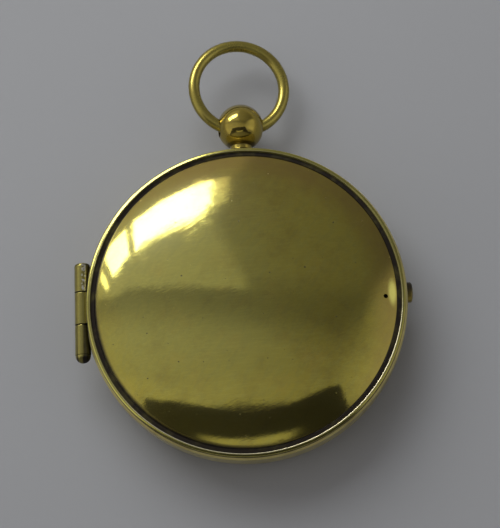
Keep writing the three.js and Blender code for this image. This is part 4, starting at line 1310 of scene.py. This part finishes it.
class COMPASS_OT_hinge(bpy.types.Operator):
    """Builds the three knuckles, the lid's leaf and the hinge pin"""

    bl_idname = "compass.hinge"
    bl_label = "Hinge"

    def execute(self, context):
        sizes = context.scene.compass_hinge
        shades = context.scene.compass_colours
        hinge_x, _, hinge_z = joint("lid_hinge")["pos_m"]
        lie = shifted(hinge_x, 0, hinge_z, along_y)
        # The dark mask here is painted shade and a painted dark reflection line on the knuckles, with dirt at
        # their joints
        marks = dict(grime=knuckle_dirt, solder=knuckle_solder)
        hinge_brass = brass("hinge brass", shades.hinge, roughness=0.15, tarnish=0.6, lumps=2.5, **marks)
        for node, body in (
            ("case_hinge_knuckle_north", "case"),
            ("case_hinge_knuckle_south", "case"),
            ("lid_hinge_knuckle", "lid"),
        ):
            outline = knuckle_outline(sizes, low(node)[1], high(node)[1])
            piece = turned(node + "_fine", outline, BARREL_STEPS, lie)
            if body == "lid":
                root = hinge_x + sizes.pin + sizes.play + sizes.leaf_root
                leaf = block("leaf", [root, low(node)[1], hinge_z + sizes.leaf_drop], high(node))
                combine(piece, "UNION", [leaf])
            finish(piece, body, hinge_brass, [node])
        pin_piece = turned("hinge_pin_fine", pin_outline(sizes), ROD_STEPS, lie)
        finish(pin_piece, "case", hinge_brass, ["hinge_pin"])
        return {"FINISHED"}


def knuckle_outline(sizes, start, end):
    """Outline of one knuckle: a bored round bar with rounded ends."""
    bore = sizes.pin + sizes.play
    corners = [
        [bore, start, sizes.bore_edge],
        [sizes.barrel, start, sizes.edge],
        [sizes.barrel, end, sizes.edge],
        [bore, end, sizes.bore_edge],
    ]
    return rounded(corners, 5)


def pin_outline(sizes):
    """Outline of the hinge pin: a shank between a low domed head and a high one, each a quarter ellipse."""
    south, north = low("hinge_pin")[1], high("hinge_pin")[1]
    head_radius = half("hinge_pin")[2]
    north_foot, south_foot = north - sizes.north_head, south + sizes.south_head
    south_dome = arc((0, south_foot), (head_radius, sizes.south_head), -np.pi / 2, 0, 10)
    north_dome = arc((0, north_foot), (head_radius, sizes.north_head), 0, np.pi / 2, 10)
    return np.vstack([south_dome, [[sizes.pin, south_foot], [sizes.pin, north_foot]], north_dome])


class COMPASS_OT_pendant(bpy.types.Operator):
    """Builds the ball pendant with its worn cross hole, its neck and the round wire bow"""

    bl_idname = "compass.pendant"
    bl_label = "Pendant and bow"

    def execute(self, context):
        sizes = context.scene.compass_pendant
        shades = context.scene.compass_colours
        swing = joint("bow_swing")
        axis = np.array(swing["axis"])
        hinge = np.array(swing["pos_m"])
        centre = np.array([0, high("pendant")[1] - sizes.ball, hinge[2]])
        ball = new_piece("pendant_ball", *drilled_ball(sizes, centre, hinge, axis))
        look = dict(roughness=0.10, tarnish=0.4, lumps=3.0)
        ball_brass = brass("pendant brass", shades.ball, grime=pendant_dirt, **look)
        neck = turned("neck", neck_outline(sizes, centre), NECK_STEPS, shifted(0, 0, centre[2], along_y))
        combine(ball, "UNION", [neck])
        finish(ball, "case", ball_brass, ["pendant"])

        ring = new_piece("bow_wire", *ring_surface(sizes, hinge, axis))
        bow_brass = brass("bow brass", shades.bow, roughness=0.27, tarnish=0.45, lumps=2.0)
        finish(ring, "bow", bow_brass, ["bow_ring"])
        return {"FINISHED"}


def drilled_ball(sizes, centre, hole, axis):
    """Points and faces of a ball with a cross hole whose edges are worn round.

    Round the hole's axis, a ray at angle a leaves the hole at the hole's radius and meets the ball's
    widest ring further out. Along the ray the surface stands at plus or minus
    sqrt(ball^2 - distance from the ball's centre^2). The worn edge is a curve whose control point is
    the sharp corner.
    """
    across = np.cross([0, 0, 1.0], axis)
    across /= np.linalg.norm(across)
    upward = np.cross(axis, across)
    offset = hole - centre
    shift = np.array([offset @ across, offset @ upward])
    round_steps, ball_steps, edge_steps = 144, 34, 9
    angle = np.linspace(0, 2 * np.pi, round_steps, endpoint=False)
    ray = np.stack([np.cos(angle), np.sin(angle)], axis=-1)
    along_shift = ray @ shift
    widest = -along_shift + np.sqrt(along_shift**2 + sizes.ball**2 - shift @ shift)
    worn = 1.6 * sizes.hole_edge
    first = sizes.hole + worn
    share = np.sin(np.linspace(0, np.pi / 2, ball_steps))[:, None]
    reach = first + (widest[None] - first) * share
    stand = np.sqrt(np.maximum(sizes.ball**2 - reach**2 - 2 * reach * along_shift - shift @ shift, 0))
    corner = np.sqrt(sizes.ball**2 - sizes.hole**2 - 2 * sizes.hole * along_shift - shift @ shift)
    blend = np.linspace(0, 1, edge_steps)[:-1, None]
    inner = corner - worn
    edge_reach = (1 - blend**2) * sizes.hole + blend**2 * first
    edge_stand = (1 - blend) ** 2 * inner + 2 * blend * (1 - blend) * corner + blend**2 * stand[0]
    half_reach = np.vstack([edge_reach + 0 * angle, reach])
    half_stand = np.vstack([edge_stand, stand])
    full_reach = np.vstack([half_reach, half_reach[-2::-1]])
    full_stand = np.vstack([half_stand, -half_stand[-2::-1]])
    plane = hole + full_reach[..., None] * (ray[:, :1] * across + ray[:, 1:] * upward)
    points = plane + full_stand[..., None] * axis
    rows, columns = full_reach.shape
    return points, grid_faces(rows, columns, True, True).tolist()


def neck_outline(sizes, centre):
    """Outline of the neck: a tenon in the wall, a foot on it, a waist and a flare that meets the ball."""
    start = high("case_body")[1] + sizes.foot_seat
    foot_top = start + sizes.foot_height
    meet = centre[1] - math.sqrt(sizes.ball**2 - sizes.neck**2)
    inside = centre[1] - sizes.ball * sizes.neck_share
    waist = sizes.neck - 0.06 * MM
    corners = [
        [0, low("pendant")[1], 0],
        [sizes.tenon, low("pendant")[1], 0],
        [sizes.tenon, start, 0],
        [sizes.foot, start, 0.06 * MM],
        [sizes.foot - 0.04 * MM, foot_top, 0.12 * MM],
        [waist, foot_top + 0.16 * MM, 0.15 * MM],
        [waist, meet - 0.1 * MM, 0.2 * MM],
        [sizes.neck + 0.08 * MM, inside, 0],
        [0, inside, 0],
    ]
    return rounded(corners, 5)


def ring_surface(sizes, hinge, axis):
    """Points and faces of the bow: a circle carried round a circle, in the plane of the hinge axis and Y.

    The wire is thinned where it rubs in the ball, by a bell curve of the angle from that place.
    """
    outward = np.array([0, 1.0, 0])
    normal = np.cross(axis, outward)
    centre = np.array([0, middle("bow_ring")[1], hinge[2]])
    ring_steps, wire_steps = 240, 48
    round_angle = np.linspace(0, 2 * np.pi, ring_steps, endpoint=False)[:, None]
    wire_angle = np.linspace(0, 2 * np.pi, wire_steps, endpoint=False)[None]
    lead = np.cos(round_angle)[..., None] * axis + np.sin(round_angle)[..., None] * outward
    from_ball = (round_angle + np.pi / 2 + np.pi) % (2 * np.pi) - np.pi
    wire = sizes.wire * (1 - sizes.rub * np.exp(-((from_ball / sizes.rub_reach) ** 2)))
    reach = sizes.bow + wire * np.cos(wire_angle)
    points = centre + reach[..., None] * lead + (wire * np.sin(wire_angle))[..., None] * normal
    return points, grid_faces(ring_steps, wire_steps, True, True).tolist()


class COMPASS_OT_catch(bpy.types.Operator):
    """Builds the push piece and the catch spring's screw, and finishes the two springs"""

    bl_idname = "compass.catch"
    bl_label = "Catch"

    def execute(self, context):
        sizes = context.scene.compass_catch
        shades = context.scene.compass_colours
        push = middle("catch_button")
        start, crown = low("catch_button")[0], high("catch_button")[0]
        wide = half("catch_button")[1]
        dome = arc((0, crown - sizes.dome), (sizes.shank, sizes.dome), 0, np.pi / 2, 14)
        body = [
            [0, start],
            [wide, start],
            [wide, start + sizes.flange],
            [sizes.shank, start + sizes.flange],
            [sizes.shank, crown - 1.5 * sizes.dome],
        ]
        lie = shifted(0, push[1], push[2], along_x)
        piece = turned("push_piece", np.vstack([body, dome]), BARREL_STEPS, lie)
        look = dict(roughness=0.16, tarnish=0.4, lumps=3.0)
        # The dark mask here is painted shade on the push piece
        push_brass = brass("push brass", shades.ball, grime=push_dirt, **look)
        finish(piece, "catch_button", push_brass, ["catch_button"])
        spring = metal("spring steel", scaled(shades.steel, 0.7), roughness=0.3)
        dress("catch_spring", spring)
        dress("lock_spring", spring)
        screw = screw_piece("catch_screw_fine", "catch_spring_screw", sizes, 0.5)
        finish(screw, "case", metal("screw steel", shades.steel), ["catch_spring_screw"])
        return {"FINISHED"}


def screw_piece(name, node, sizes, slot_turn):
    """A cheese-head screw in a node's place, with a slot across its head."""
    x, y, _ = middle(node)
    bottom, top = low(node)[2], high(node)[2]
    under_head = top - sizes.screw_height
    corners = [
        [0, bottom, 0],
        [sizes.screw, bottom, 0],
        [sizes.screw, under_head, 0],
        [sizes.screw_head, under_head, 0.03 * MM],
        [sizes.screw_head, top, 0.09 * MM],
        [0, top, 0],
    ]
    screw = turned(name, starting_at(rounded(corners), 0, bottom), ROD_STEPS, shifted(x, y, 0))
    slot_depth = 0.4 * sizes.screw_height
    reach = np.array([sizes.screw_head + PAST, bpy.context.scene.compass_catch.slot / 2, PAST])
    cutter = block("cut", -reach, reach)
    place = Matrix.Translation((x, y, top - slot_depth + PAST))
    cutter.data.transform(place @ Matrix.Rotation(slot_turn, 4, "Z"))
    return combine(screw, "DIFFERENCE", [cutter])


def dress(node, material):
    """Gives a CAD node its material."""
    piece = frame["nodes"][node]
    piece.data.materials.clear()
    piece.data.materials.append(material)


class COMPASS_OT_dial(bpy.types.Operator):
    """Builds the glass and rings over the dial, its screws and printing, and finishes card and plate"""

    bl_idname = "compass.dial"
    bl_label = "Dial and glass"

    def execute(self, context):
        sizes = context.scene.compass_dial
        rings = context.scene.compass_glass
        shades = context.scene.compass_colours
        inner_brass = brass("inner brass", shades.inner, wear=0.4, roughness=0.28, tarnish=0.22)
        dress("dial_plate", inner_brass)
        dress("dial_card", card_material("aged card", shades.card))

        spacer = turned("spacer_ring_fine", spacer_outline(rings), DISC_STEPS)
        cut_ring(spacer, "spacer_ring", rings, rings.well)
        finish(spacer, "case", inner_brass, ["spacer_ring"])

        bezel = turned("glass_bezel_fine", bezel_outline(rings), WIDE_STEPS)
        cut_ring(bezel, "glass_bezel", rings, rings.pin_hole)
        bezel_brass = brass("bezel brass", shades.inner, wear=0.8, roughness=0.16, tarnish=0.2)
        finish(bezel, "case", bezel_brass, ["glass_bezel"])

        lens = turned("glass_fine", glass_outline(rings), DISC_STEPS)
        finish(lens, "case", glass_material("clear glass"), ["glass"])

        steel = metal("dial screw steel", shades.steel, roughness=0.22)
        for node, slot_turn in (("dial_screw_northeast", 0.3), ("dial_screw_southwest", 1.1)):
            screw = screw_piece(node + "_fine", node, sizes, slot_turn)
            finish(screw, "case", steel, [node])

        ink = ink_material("printing ink", shades.ink)
        print_piece = new_piece("dial_printing", *dial_printing(sizes))
        finish(print_piece, "case", ink, sharp=math.radians(20))
        return {"FINISHED"}


def cut_ring(piece, node, sizes, hole_radius):
    """Cuts the catch spring's pocket and the lock pin's hole from a ring."""
    bottom, top = low(node)[2] - PAST, high(node)[2] + PAST
    bearings = (sizes.pocket_start, sizes.pocket_end)
    pocket = sector("cut", sizes.pocket_inner, sizes.pocket_outer, bottom, top, *bearings)
    place = middle("lock_pin")
    hole = pin("cut", hole_radius, bottom, top, HOLE_STEPS, shifted(place[0], place[1], 0))
    combine(piece, "DIFFERENCE", [pocket, hole])


def spacer_outline(sizes):
    """Outline of the sloping ring between the dial and the glass."""
    bottom, top = low("spacer_ring")[2], high("spacer_ring")[2]
    outer = high("spacer_ring")[1]
    foot = outer - sizes.spacer_width
    seat = foot - sizes.spacer_slope
    edge = sizes.spacer_edge
    soft = 0.05 * MM
    corners = [
        [foot, bottom, soft],
        [outer, bottom, soft],
        [outer, top, soft],
        [seat, top, soft],
        [seat, top - edge, soft],
        [foot, bottom + edge, soft],
    ]
    return rounded(corners)


def bezel_outline(sizes):
    """Outline of the bezel ring: a skirt round the glass, a bevelled crown and a thin lip over it."""
    bottom, top = low("glass_bezel")[2], high("glass_bezel")[2]
    outer = high("glass_bezel")[1]
    lip = high("glass")[1] - sizes.lip
    bore = high("glass")[1] + sizes.play
    glass_top = bottom + sizes.glass_edge
    shoulder = bottom + sizes.shoulder
    fine, soft = 0.03 * MM, 0.3 * MM
    corners = [
        [bore, bottom, fine],
        [outer, bottom, fine],
        [outer, shoulder, 0.1 * MM],
        [outer - sizes.bevel_width, shoulder + sizes.bevel_width, soft],
        [outer - sizes.crown_start, top, soft],
        [lip + sizes.lip_slope, top, soft],
        [lip, glass_top + sizes.lip_edge, 0.05 * MM],
        [lip, glass_top, 0.02 * MM],
        [bore, glass_top, 0],
    ]
    return rounded(corners, 5)


def glass_outline(sizes):
    """Outline of the glass: a flat disc whose upper face is bevelled inside the bezel's lip."""
    bottom, top = low("glass")[2], high("glass")[2]
    radius = high("glass")[1]
    bevel_foot = bottom + sizes.glass_edge
    lip = radius - sizes.lip
    corners = [
        [0, bottom, 0],
        [radius, bottom, 0.05 * MM],
        [radius, bevel_foot, 0.05 * MM],
        [lip, bevel_foot, 0.04 * MM],
        [lip - sizes.glass_bevel, top, 0.08 * MM],
        [0, top, 0],
    ]
    return starting_at(rounded(corners), 0, bottom)


def dial_printing(sizes):
    """Points and faces of the printing: thin flat prisms for circles, ticks, rose, letters and figures."""
    base = high("dial_card")[2]
    flats = []
    for radius in (sizes.ring_outer, sizes.ring_inner, sizes.ring_letters, sizes.ring_hub):
        flats += ring_flats(radius, sizes.line)
    flats += tick_flats(sizes)
    flats += rose_flats(sizes)
    points, faces = prisms(flats, base, sizes.ink)
    for text, height, reach, bearing in dial_words(sizes):
        word_points, word_faces = word_prism(text, height, reach, bearing, base, sizes.ink)
        faces += [[corner + len(points) for corner in face] for face in word_faces]
        points = np.vstack([points, word_points])
    return points, faces


def polar(radius, bearing):
    """Places at a compass bearing, clockwise from +Y."""
    return np.stack([radius * np.sin(bearing), radius * np.cos(bearing)], axis=-1)


def ring_flats(radius, width, steps=180):
    """Quads of a flat ring: radius plus and minus half the width, at even bearings."""
    bearing = np.linspace(0, 2 * np.pi, steps + 1)
    inner = polar(radius - width / 2, bearing)
    outer = polar(radius + width / 2, bearing)
    return list(np.stack([inner[:-1], outer[:-1], outer[1:], inner[1:]], axis=1))


def tick_flats(sizes):
    """Quads of the degree ticks, one each two degrees and longer at tens and thirties."""
    degrees = np.arange(0, 360, 2)
    short = np.where(degrees % 10 == 0, sizes.tick_ten, sizes.tick)
    reach = np.where(degrees % 30 == 0, sizes.tick_thirty, short)
    width = np.where(degrees % 30 == 0, 1.7, 1.0) * sizes.line
    bearing = np.radians(degrees)
    outer = polar(sizes.ring_outer, bearing)
    inner = polar(sizes.ring_outer - reach, bearing)
    side = np.stack([np.cos(bearing), -np.sin(bearing)], axis=-1) * width[:, None] / 2
    return list(np.stack([inner - side, inner + side, outer + side, outer - side], axis=1))


def rose_flats(sizes):
    """Triangles of an eight-pointed rose, whose points are dark on one side and outlined on the other."""
    flats = []
    short = (45, sizes.rose * sizes.rose_short, sizes.rose_short_notch)
    for first_bearing, reach, notch in (short, (0, sizes.rose, sizes.rose_notch)):
        for k in range(4):
            bearing = np.radians(90 * k + first_bearing)
            tip = polar(reach, bearing)
            left = polar(notch, bearing - np.pi / 4)
            right = polar(notch, bearing + np.pi / 4)
            flats.append(np.array([np.zeros(2), left, tip]))
            flats += outline_flats([np.zeros(2), right, tip], 0.8 * sizes.line)
    return flats


def outline_flats(corners, width):
    """Quads along the sides of a shape, each half a width to either side of its line."""
    first = np.asarray(corners)
    last = np.roll(first, -1, axis=0)
    way = last - first
    way /= np.linalg.norm(way, axis=1)[:, None]
    side = np.stack([-way[:, 1], way[:, 0]], axis=-1) * width / 2
    return list(np.stack([first - side, last - side, last + side, first + side], axis=1))


def prisms(flats, base, thickness):
    """Closed prisms over flat shapes of three or four corners."""
    points, faces = [], []
    for flat in flats:
        start = len(points)
        sides = len(flat)
        points += [[x, y, base] for x, y in flat] + [[x, y, base + thickness] for x, y in flat]
        under = list(range(start, start + sides))
        over = [corner + sides for corner in under]
        faces += [under[::-1], over]
        faces += [
            [under[i], under[(i + 1) % sides], over[(i + 1) % sides], over[i]] for i in range(sides)
        ]
    return np.array(points), faces


def dial_words(sizes):
    """The dial's letters and figures, as (text, height, reach, bearing in degrees)."""
    letters = [(text, sizes.letter, sizes.letter_reach, 90 * k) for k, text in enumerate("NESW")]
    thirties = [angle for angle in range(0, 360, 30) if angle % 90]
    return letters + [(str(angle), sizes.figure, sizes.figure_reach, angle) for angle in thirties]


def word_prism(text, height, reach, bearing, base, thickness):
    """Points and faces of a word stood on the dial at a bearing, its head outwards."""
    curve = bpy.data.curves.new("word", "FONT")
    curve.body = text
    curve.size = height
    curve.align_x = "CENTER"
    curve.align_y = "CENTER"
    curve.extrude = thickness / 2
    curve.resolution_u = 5
    word = bpy.data.objects.new("word", curve)
    bpy.context.scene.collection.objects.link(word)
    graph = bpy.context.evaluated_depsgraph_get()
    mesh = bpy.data.meshes.new_from_object(word.evaluated_get(graph))
    angle = math.radians(bearing)
    where = (reach * math.sin(angle), reach * math.cos(angle), base + thickness / 2)
    mesh.transform(Matrix.Translation(where) @ Matrix.Rotation(-angle, 4, "Z"))
    points = np.zeros(3 * len(mesh.vertices))
    mesh.vertices.foreach_get("co", points)
    faces = [list(face.vertices) for face in mesh.polygons]
    bpy.data.objects.remove(word)
    bpy.data.curves.remove(curve)
    bpy.data.meshes.remove(mesh)
    return points.reshape(-1, 3), faces


class COMPASS_OT_needle(bpy.types.Operator):
    """Builds the needle's cap, and finishes the rest of the needle, its pivot and the lift"""

    bl_idname = "compass.needle"
    bl_label = "Needle and lift"

    def execute(self, context):
        shades = context.scene.compass_colours
        outline = cap_outline(context.scene.compass_needle)
        cap = turned("needle_cap_fine", outline, BARREL_STEPS)
        cap_brass = metal("cap brass", shades.inner, roughness=0.16, cloudiness=0.2)
        finish(cap, "needle", cap_brass, ["needle_cap"])
        dress("needle", metal("blued steel", shades.blue, roughness=0.18, cloudiness=0.4))
        dress("needle_weight", metal("weight brass", shades.inner, roughness=0.25))
        dress("needle_jewel", agate_material("agate"))
        pivot_steel = metal("pivot steel", shades.steel, roughness=0.2)
        lift_brass = metal("lift brass", shades.inner, roughness=0.3)
        for node in ("pivot_post", "lock_pin", "lever_axle"):
            dress(node, pivot_steel)
        for node in ("lift_collar", "lift_lever", "lever_bracket"):
            dress(node, lift_brass)
        return {"FINISHED"}


def cap_outline(sizes):
    """Outline of the needle's cap: a cup upside down, with a flange that sits on the needle."""
    bottom, top = low("needle_cap")[2], high("needle_cap")[2]
    flange = high("needle_cap")[1]
    ceiling = top - sizes.crown
    fine = 0.03 * MM
    corners = [
        [0, ceiling, 0],
        [sizes.bore, ceiling, 0],
        [sizes.bore, bottom, fine],
        [flange, bottom, fine],
        [flange, bottom + sizes.flange, fine],
        [sizes.wall, bottom + sizes.flange, 0.05 * MM],
        [sizes.wall, ceiling, 0.06 * MM],
        [sizes.bore, top, 0.1 * MM],
        [0, top, 0],
    ]
    return starting_at(rounded(corners), 0, ceiling)


# The stage


class COMPASS_OT_stage(bpy.types.Operator):
    """Sets up the table, the window's lamps, the room's light and the camera"""

    bl_idname = "compass.stage"
    bl_label = "Stage"

    def execute(self, context):
        sizes = context.scene.compass_stage
        square = ((-1, -1), (1, -1), (1, 1), (-1, 1))
        corners = [[x * sizes.table_half, y * sizes.table_half, -sizes.table_gap] for x, y in square]
        mesh = bpy.data.meshes.new("table")
        mesh.from_pydata(corners, [], [[0, 1, 2, 3]])
        table = bpy.data.objects.new("table", mesh)
        context.scene.collection.objects.link(table)
        mesh.materials.append(table_material("table top", sizes.table))
        add_window(sizes)
        add_room(sizes)
        add_camera(sizes)
        context.scene.view_settings.view_transform = "Standard"
        return {"FINISHED"}


def direction(bearing, height):
    """The way, of length 1, at a bearing west of north and a height above the horizon."""
    level = math.cos(height)
    return Vector((-math.sin(bearing) * level, math.cos(bearing) * level, math.sin(height)))


def add_window(sizes):
    """The window's panes, seen only as reflections, and its soft light on everything else.

    The panes stand in one leaning wall that faces the compass. Their table gives each one's start and
    end along the sill, its foot and head up the wall, all in shares of the wall's distance from the
    point straight across, and its brightness.
    """
    away = direction(sizes.window_turn, sizes.window_lean)
    level_side = Vector((-math.cos(sizes.window_turn), -math.sin(sizes.window_turn), 0))
    level_up = away.cross(level_side)
    side = math.cos(sizes.window_roll) * level_side - math.sin(sizes.window_roll) * level_up
    up = math.cos(sizes.window_roll) * level_up + math.sin(sizes.window_roll) * level_side
    pane_shares = (
        ("right_pane", -0.375, 0.11, 0.342, 0.60, 1.0),
        ("right_pane_corner", -0.35, 0.11, 0.60, 0.635, 1.0),
        ("right_pane_foot", -0.31, 0.11, 0.635, 0.67, 0.9),
        ("right_pane_haze", -0.28, 0.10, 0.67, 0.70, 0.16),
        ("left_pane", 0.163, 0.365, 0.34, 0.645, 0.82),
        ("far_pane", 0.43, 0.485, 0.46, 0.68, 0.32),
        ("reveal", -0.47, -0.388, 0.33, 0.615, 0.07),
    )
    for name, start, end, foot, head, share in pane_shares:
        place = (away + side * (start + end) / 2 + up * (foot + head) / 2) * sizes.window_distance
        face = ((end - start) * sizes.window_distance, (head - foot) * sizes.window_distance)
        pane = add_lamp(name, place, away, up, face, share * sizes.window_light, sizes.window_tint)
        pane.visible_diffuse = False
    sky_from = direction(sizes.sky_turn, sizes.sky_height)
    face = (sizes.sky_wide, sizes.sky_tall)
    sky = add_lamp("sky", sky_from, sky_from, Vector((0, 0, 1)), face, sizes.sky_light, sizes.sky_tint)
    sky.visible_glossy = False


def add_lamp(name, place, back, upward, face, radiance, tint):
    """A rectangular lamp of even radiance that shines away from its back, with its head upward.

    The lamp's power is 4 times its area times the radiance.
    """
    wide, tall = face
    lamp = bpy.data.lights.new(name, "AREA")
    lamp.shape = "RECTANGLE"
    lamp.size = wide
    lamp.size_y = tall
    lamp.energy = 4 * wide * tall * radiance
    lamp.color = tint
    holder = bpy.data.objects.new(name, lamp)
    bpy.context.scene.collection.objects.link(holder)
    right = upward.cross(back).normalized()
    set_up(holder, place, right, back.cross(right), back)
    return holder


def set_up(holder, place, right, up, back):
    """Stands a lamp or the camera in its place, turned by the ways to its right, up and back."""
    turned_by = Matrix((right, up, back)).transposed().to_4x4()
    holder.matrix_world = Matrix.Translation(place) @ turned_by


def add_room(sizes):
    """The room as a soft light from all sides, by direction (x, y, z), and plain grey for the camera.

    The parts lie over each other in order: the far side, a glow on the right and the near side. At the
    horizon they fade to one even level, and the light turns from warm there to neutral overhead.
    """
    world = bpy.data.worlds.new("room")
    bpy.context.scene.world = world
    shader = Shader(world)
    way = shader.add("ShaderNodeTexCoord")[0]
    x, y, z = shader.parts(way)
    waver = shader.noise(way, 5.0, detail=2) - 0.5
    level = far_side(shader, x, y, waver)
    glow = shader.step(x, 0.30, 0.86) * shader.fall(y - 0.9 * x, -0.42, -0.20)
    level = level + 0.5 * glow * shader.step(y, -0.48, -0.30)
    level = near_side(shader, x, y, waver, level)
    horizon = shader.fall(z, 0.12, 0.36)
    level = (level * (1 - horizon) + 0.34 * horizon) * sizes.room_light
    tint = shader.mix(shader.step(z, 0.1, 0.9), (1.0, 0.97, 0.90), (0.98, 0.98, 1.0))
    light = shader.add("ShaderNodeBackground", inputs={"Color": tint, "Strength": level})[0]
    plain = shader.add("ShaderNodeBackground", inputs={"Color": (0.30, 0.30, 0.31, 1), "Strength": 1.0})[0]
    seen = shader.add("ShaderNodeLightPath")[0]
    mixed = shader.add("ShaderNodeMixShader", inputs=[seen, light, plain])[0]
    shader.add("ShaderNodeOutputWorld", inputs=[mixed])


def far_side(shader, x, y, waver):
    """The ceiling, and past a slanting beam the wall with the window.

    The ceiling is brighter on the left and overhead towards the camera, and darkens softly up to the
    beam. The beam's edge is crisp on the left and soft on the right. The wall is light beside the
    window and dimmer to its right, past a wavy edge.
    """
    bend = 0.05 * shader.step(-x, 0.50, 0.75)
    ceiling = (0.45 - 0.28 * x) * (1 + 0.18 * shader.step(-y, 0.08, 0.25))
    ceiling = ceiling * (1 - 0.45 * shader.step(y + bend + 0.2 * x, -0.04, 0.21))
    right = shader.step(x + 0.18 - 0.55 * abs(y - 0.60) + 0.10 * waver, -0.05, 0.05)
    wall = (0.53 - 0.3 * x) * (1 - right) + (0.34 - 0.22 * x) * right
    past_beam = shader.step(y + bend + 0.08 * x, 0.26 - 0.04 * right, 0.29 + 0.09 * right)
    return ceiling * (1 - past_beam) + wall * past_beam


def near_side(shader, x, y, waver, level):
    """The level with the dark zone towards the camera in it, and a curved light strip in that zone.

    The zone's wavy edge draws back at both ends. It is less dark at its lowest part.
    """
    edge = y + 0.275 - 0.045 * shader.step(x, 0.15, 0.35) + 0.03 * waver
    edge = edge + 0.3 * shader.step(x, 0.42, 0.62) + 0.3 * shader.step(-x, 0.58, 0.80)
    near = shader.fall(edge, -0.02, 0.01)
    strip = abs(y + 0.605 - 0.55 * (x + 0.07) * (x + 0.07))
    strip = shader.fall(strip, 0.015, 0.05) * shader.band(x + 0.05, 0.20, 0.33)
    beyond = shader.fall(y, -0.68, -0.60)
    return level * (1 - near * (0.90 - 0.35 * beyond)) + 0.6 * strip


def add_camera(sizes):
    """The camera, at its azimuth, elevation and roll round the point it looks at."""
    back = direction(math.pi + sizes.azimuth, sizes.elevation)
    right = (-back).cross(Vector((0, 1, 0))).normalized()
    up = right.cross(-back)
    rolled_right = math.cos(sizes.roll) * right + math.sin(sizes.roll) * up
    rolled_up = math.cos(sizes.roll) * up - math.sin(sizes.roll) * right
    aim = Vector((sizes.aim_x, sizes.aim_y, high("lid_rim")[2]))
    data = bpy.data.cameras.new("camera")
    data.lens = sizes.lens
    data.clip_start = 0.01
    camera = bpy.data.objects.new("camera", data)
    bpy.context.scene.collection.objects.link(camera)
    set_up(camera, aim + back * sizes.distance, rolled_right, rolled_up, back)
    bpy.context.scene.camera = camera


OPERATORS = (
    COMPASS_OT_stage,
    COMPASS_OT_case,
    COMPASS_OT_lid,
    COMPASS_OT_hinge,
    COMPASS_OT_pendant,
    COMPASS_OT_catch,
    COMPASS_OT_dial,
    COMPASS_OT_needle,
)


class COMPASS_PT_panel(bpy.types.Panel):
    """Lists the compass's sizes and the operators that build it"""

    bl_idname = "COMPASS_PT_panel"
    bl_label = "Pocket Compass"
    bl_space_type = "VIEW_3D"
    bl_region_type = "UI"
    bl_category = "Compass"

    def draw(self, context):
        for operator in OPERATORS:
            self.layout.operator(operator.bl_idname)
        for name in GROUPS:
            box = self.layout.box()
            box.label(text=name.replace("_", " ").title())
            group = getattr(context.scene, name)
            for key in group.__annotations__:
                box.prop(group, key)


def register():
    """Registers the sizes, the operators and the panel."""
    for name, group in GROUPS.items():
        bpy.utils.register_class(group)
        setattr(bpy.types.Scene, name, bpy.props.PointerProperty(type=group))
    for entry in (*OPERATORS, COMPASS_PT_panel):
        bpy.utils.register_class(entry)


def unregister():
    """Takes them away again, in the opposite order."""
    for entry in reversed((*OPERATORS, COMPASS_PT_panel)):
        bpy.utils.unregister_class(entry)
    for name, group in reversed(GROUPS.items()):
        delattr(bpy.types.Scene, name)
        bpy.utils.unregister_class(group)


def main():
    """Builds the whole compass on its stage."""
    register()
    bpy.ops.compass.stage()
    bpy.ops.compass.case()
    bpy.ops.compass.lid()
    bpy.ops.compass.hinge()
    bpy.ops.compass.pendant()
    bpy.ops.compass.catch()
    bpy.ops.compass.dial()
    bpy.ops.compass.needle()


if __name__ == "__main__":
    main()
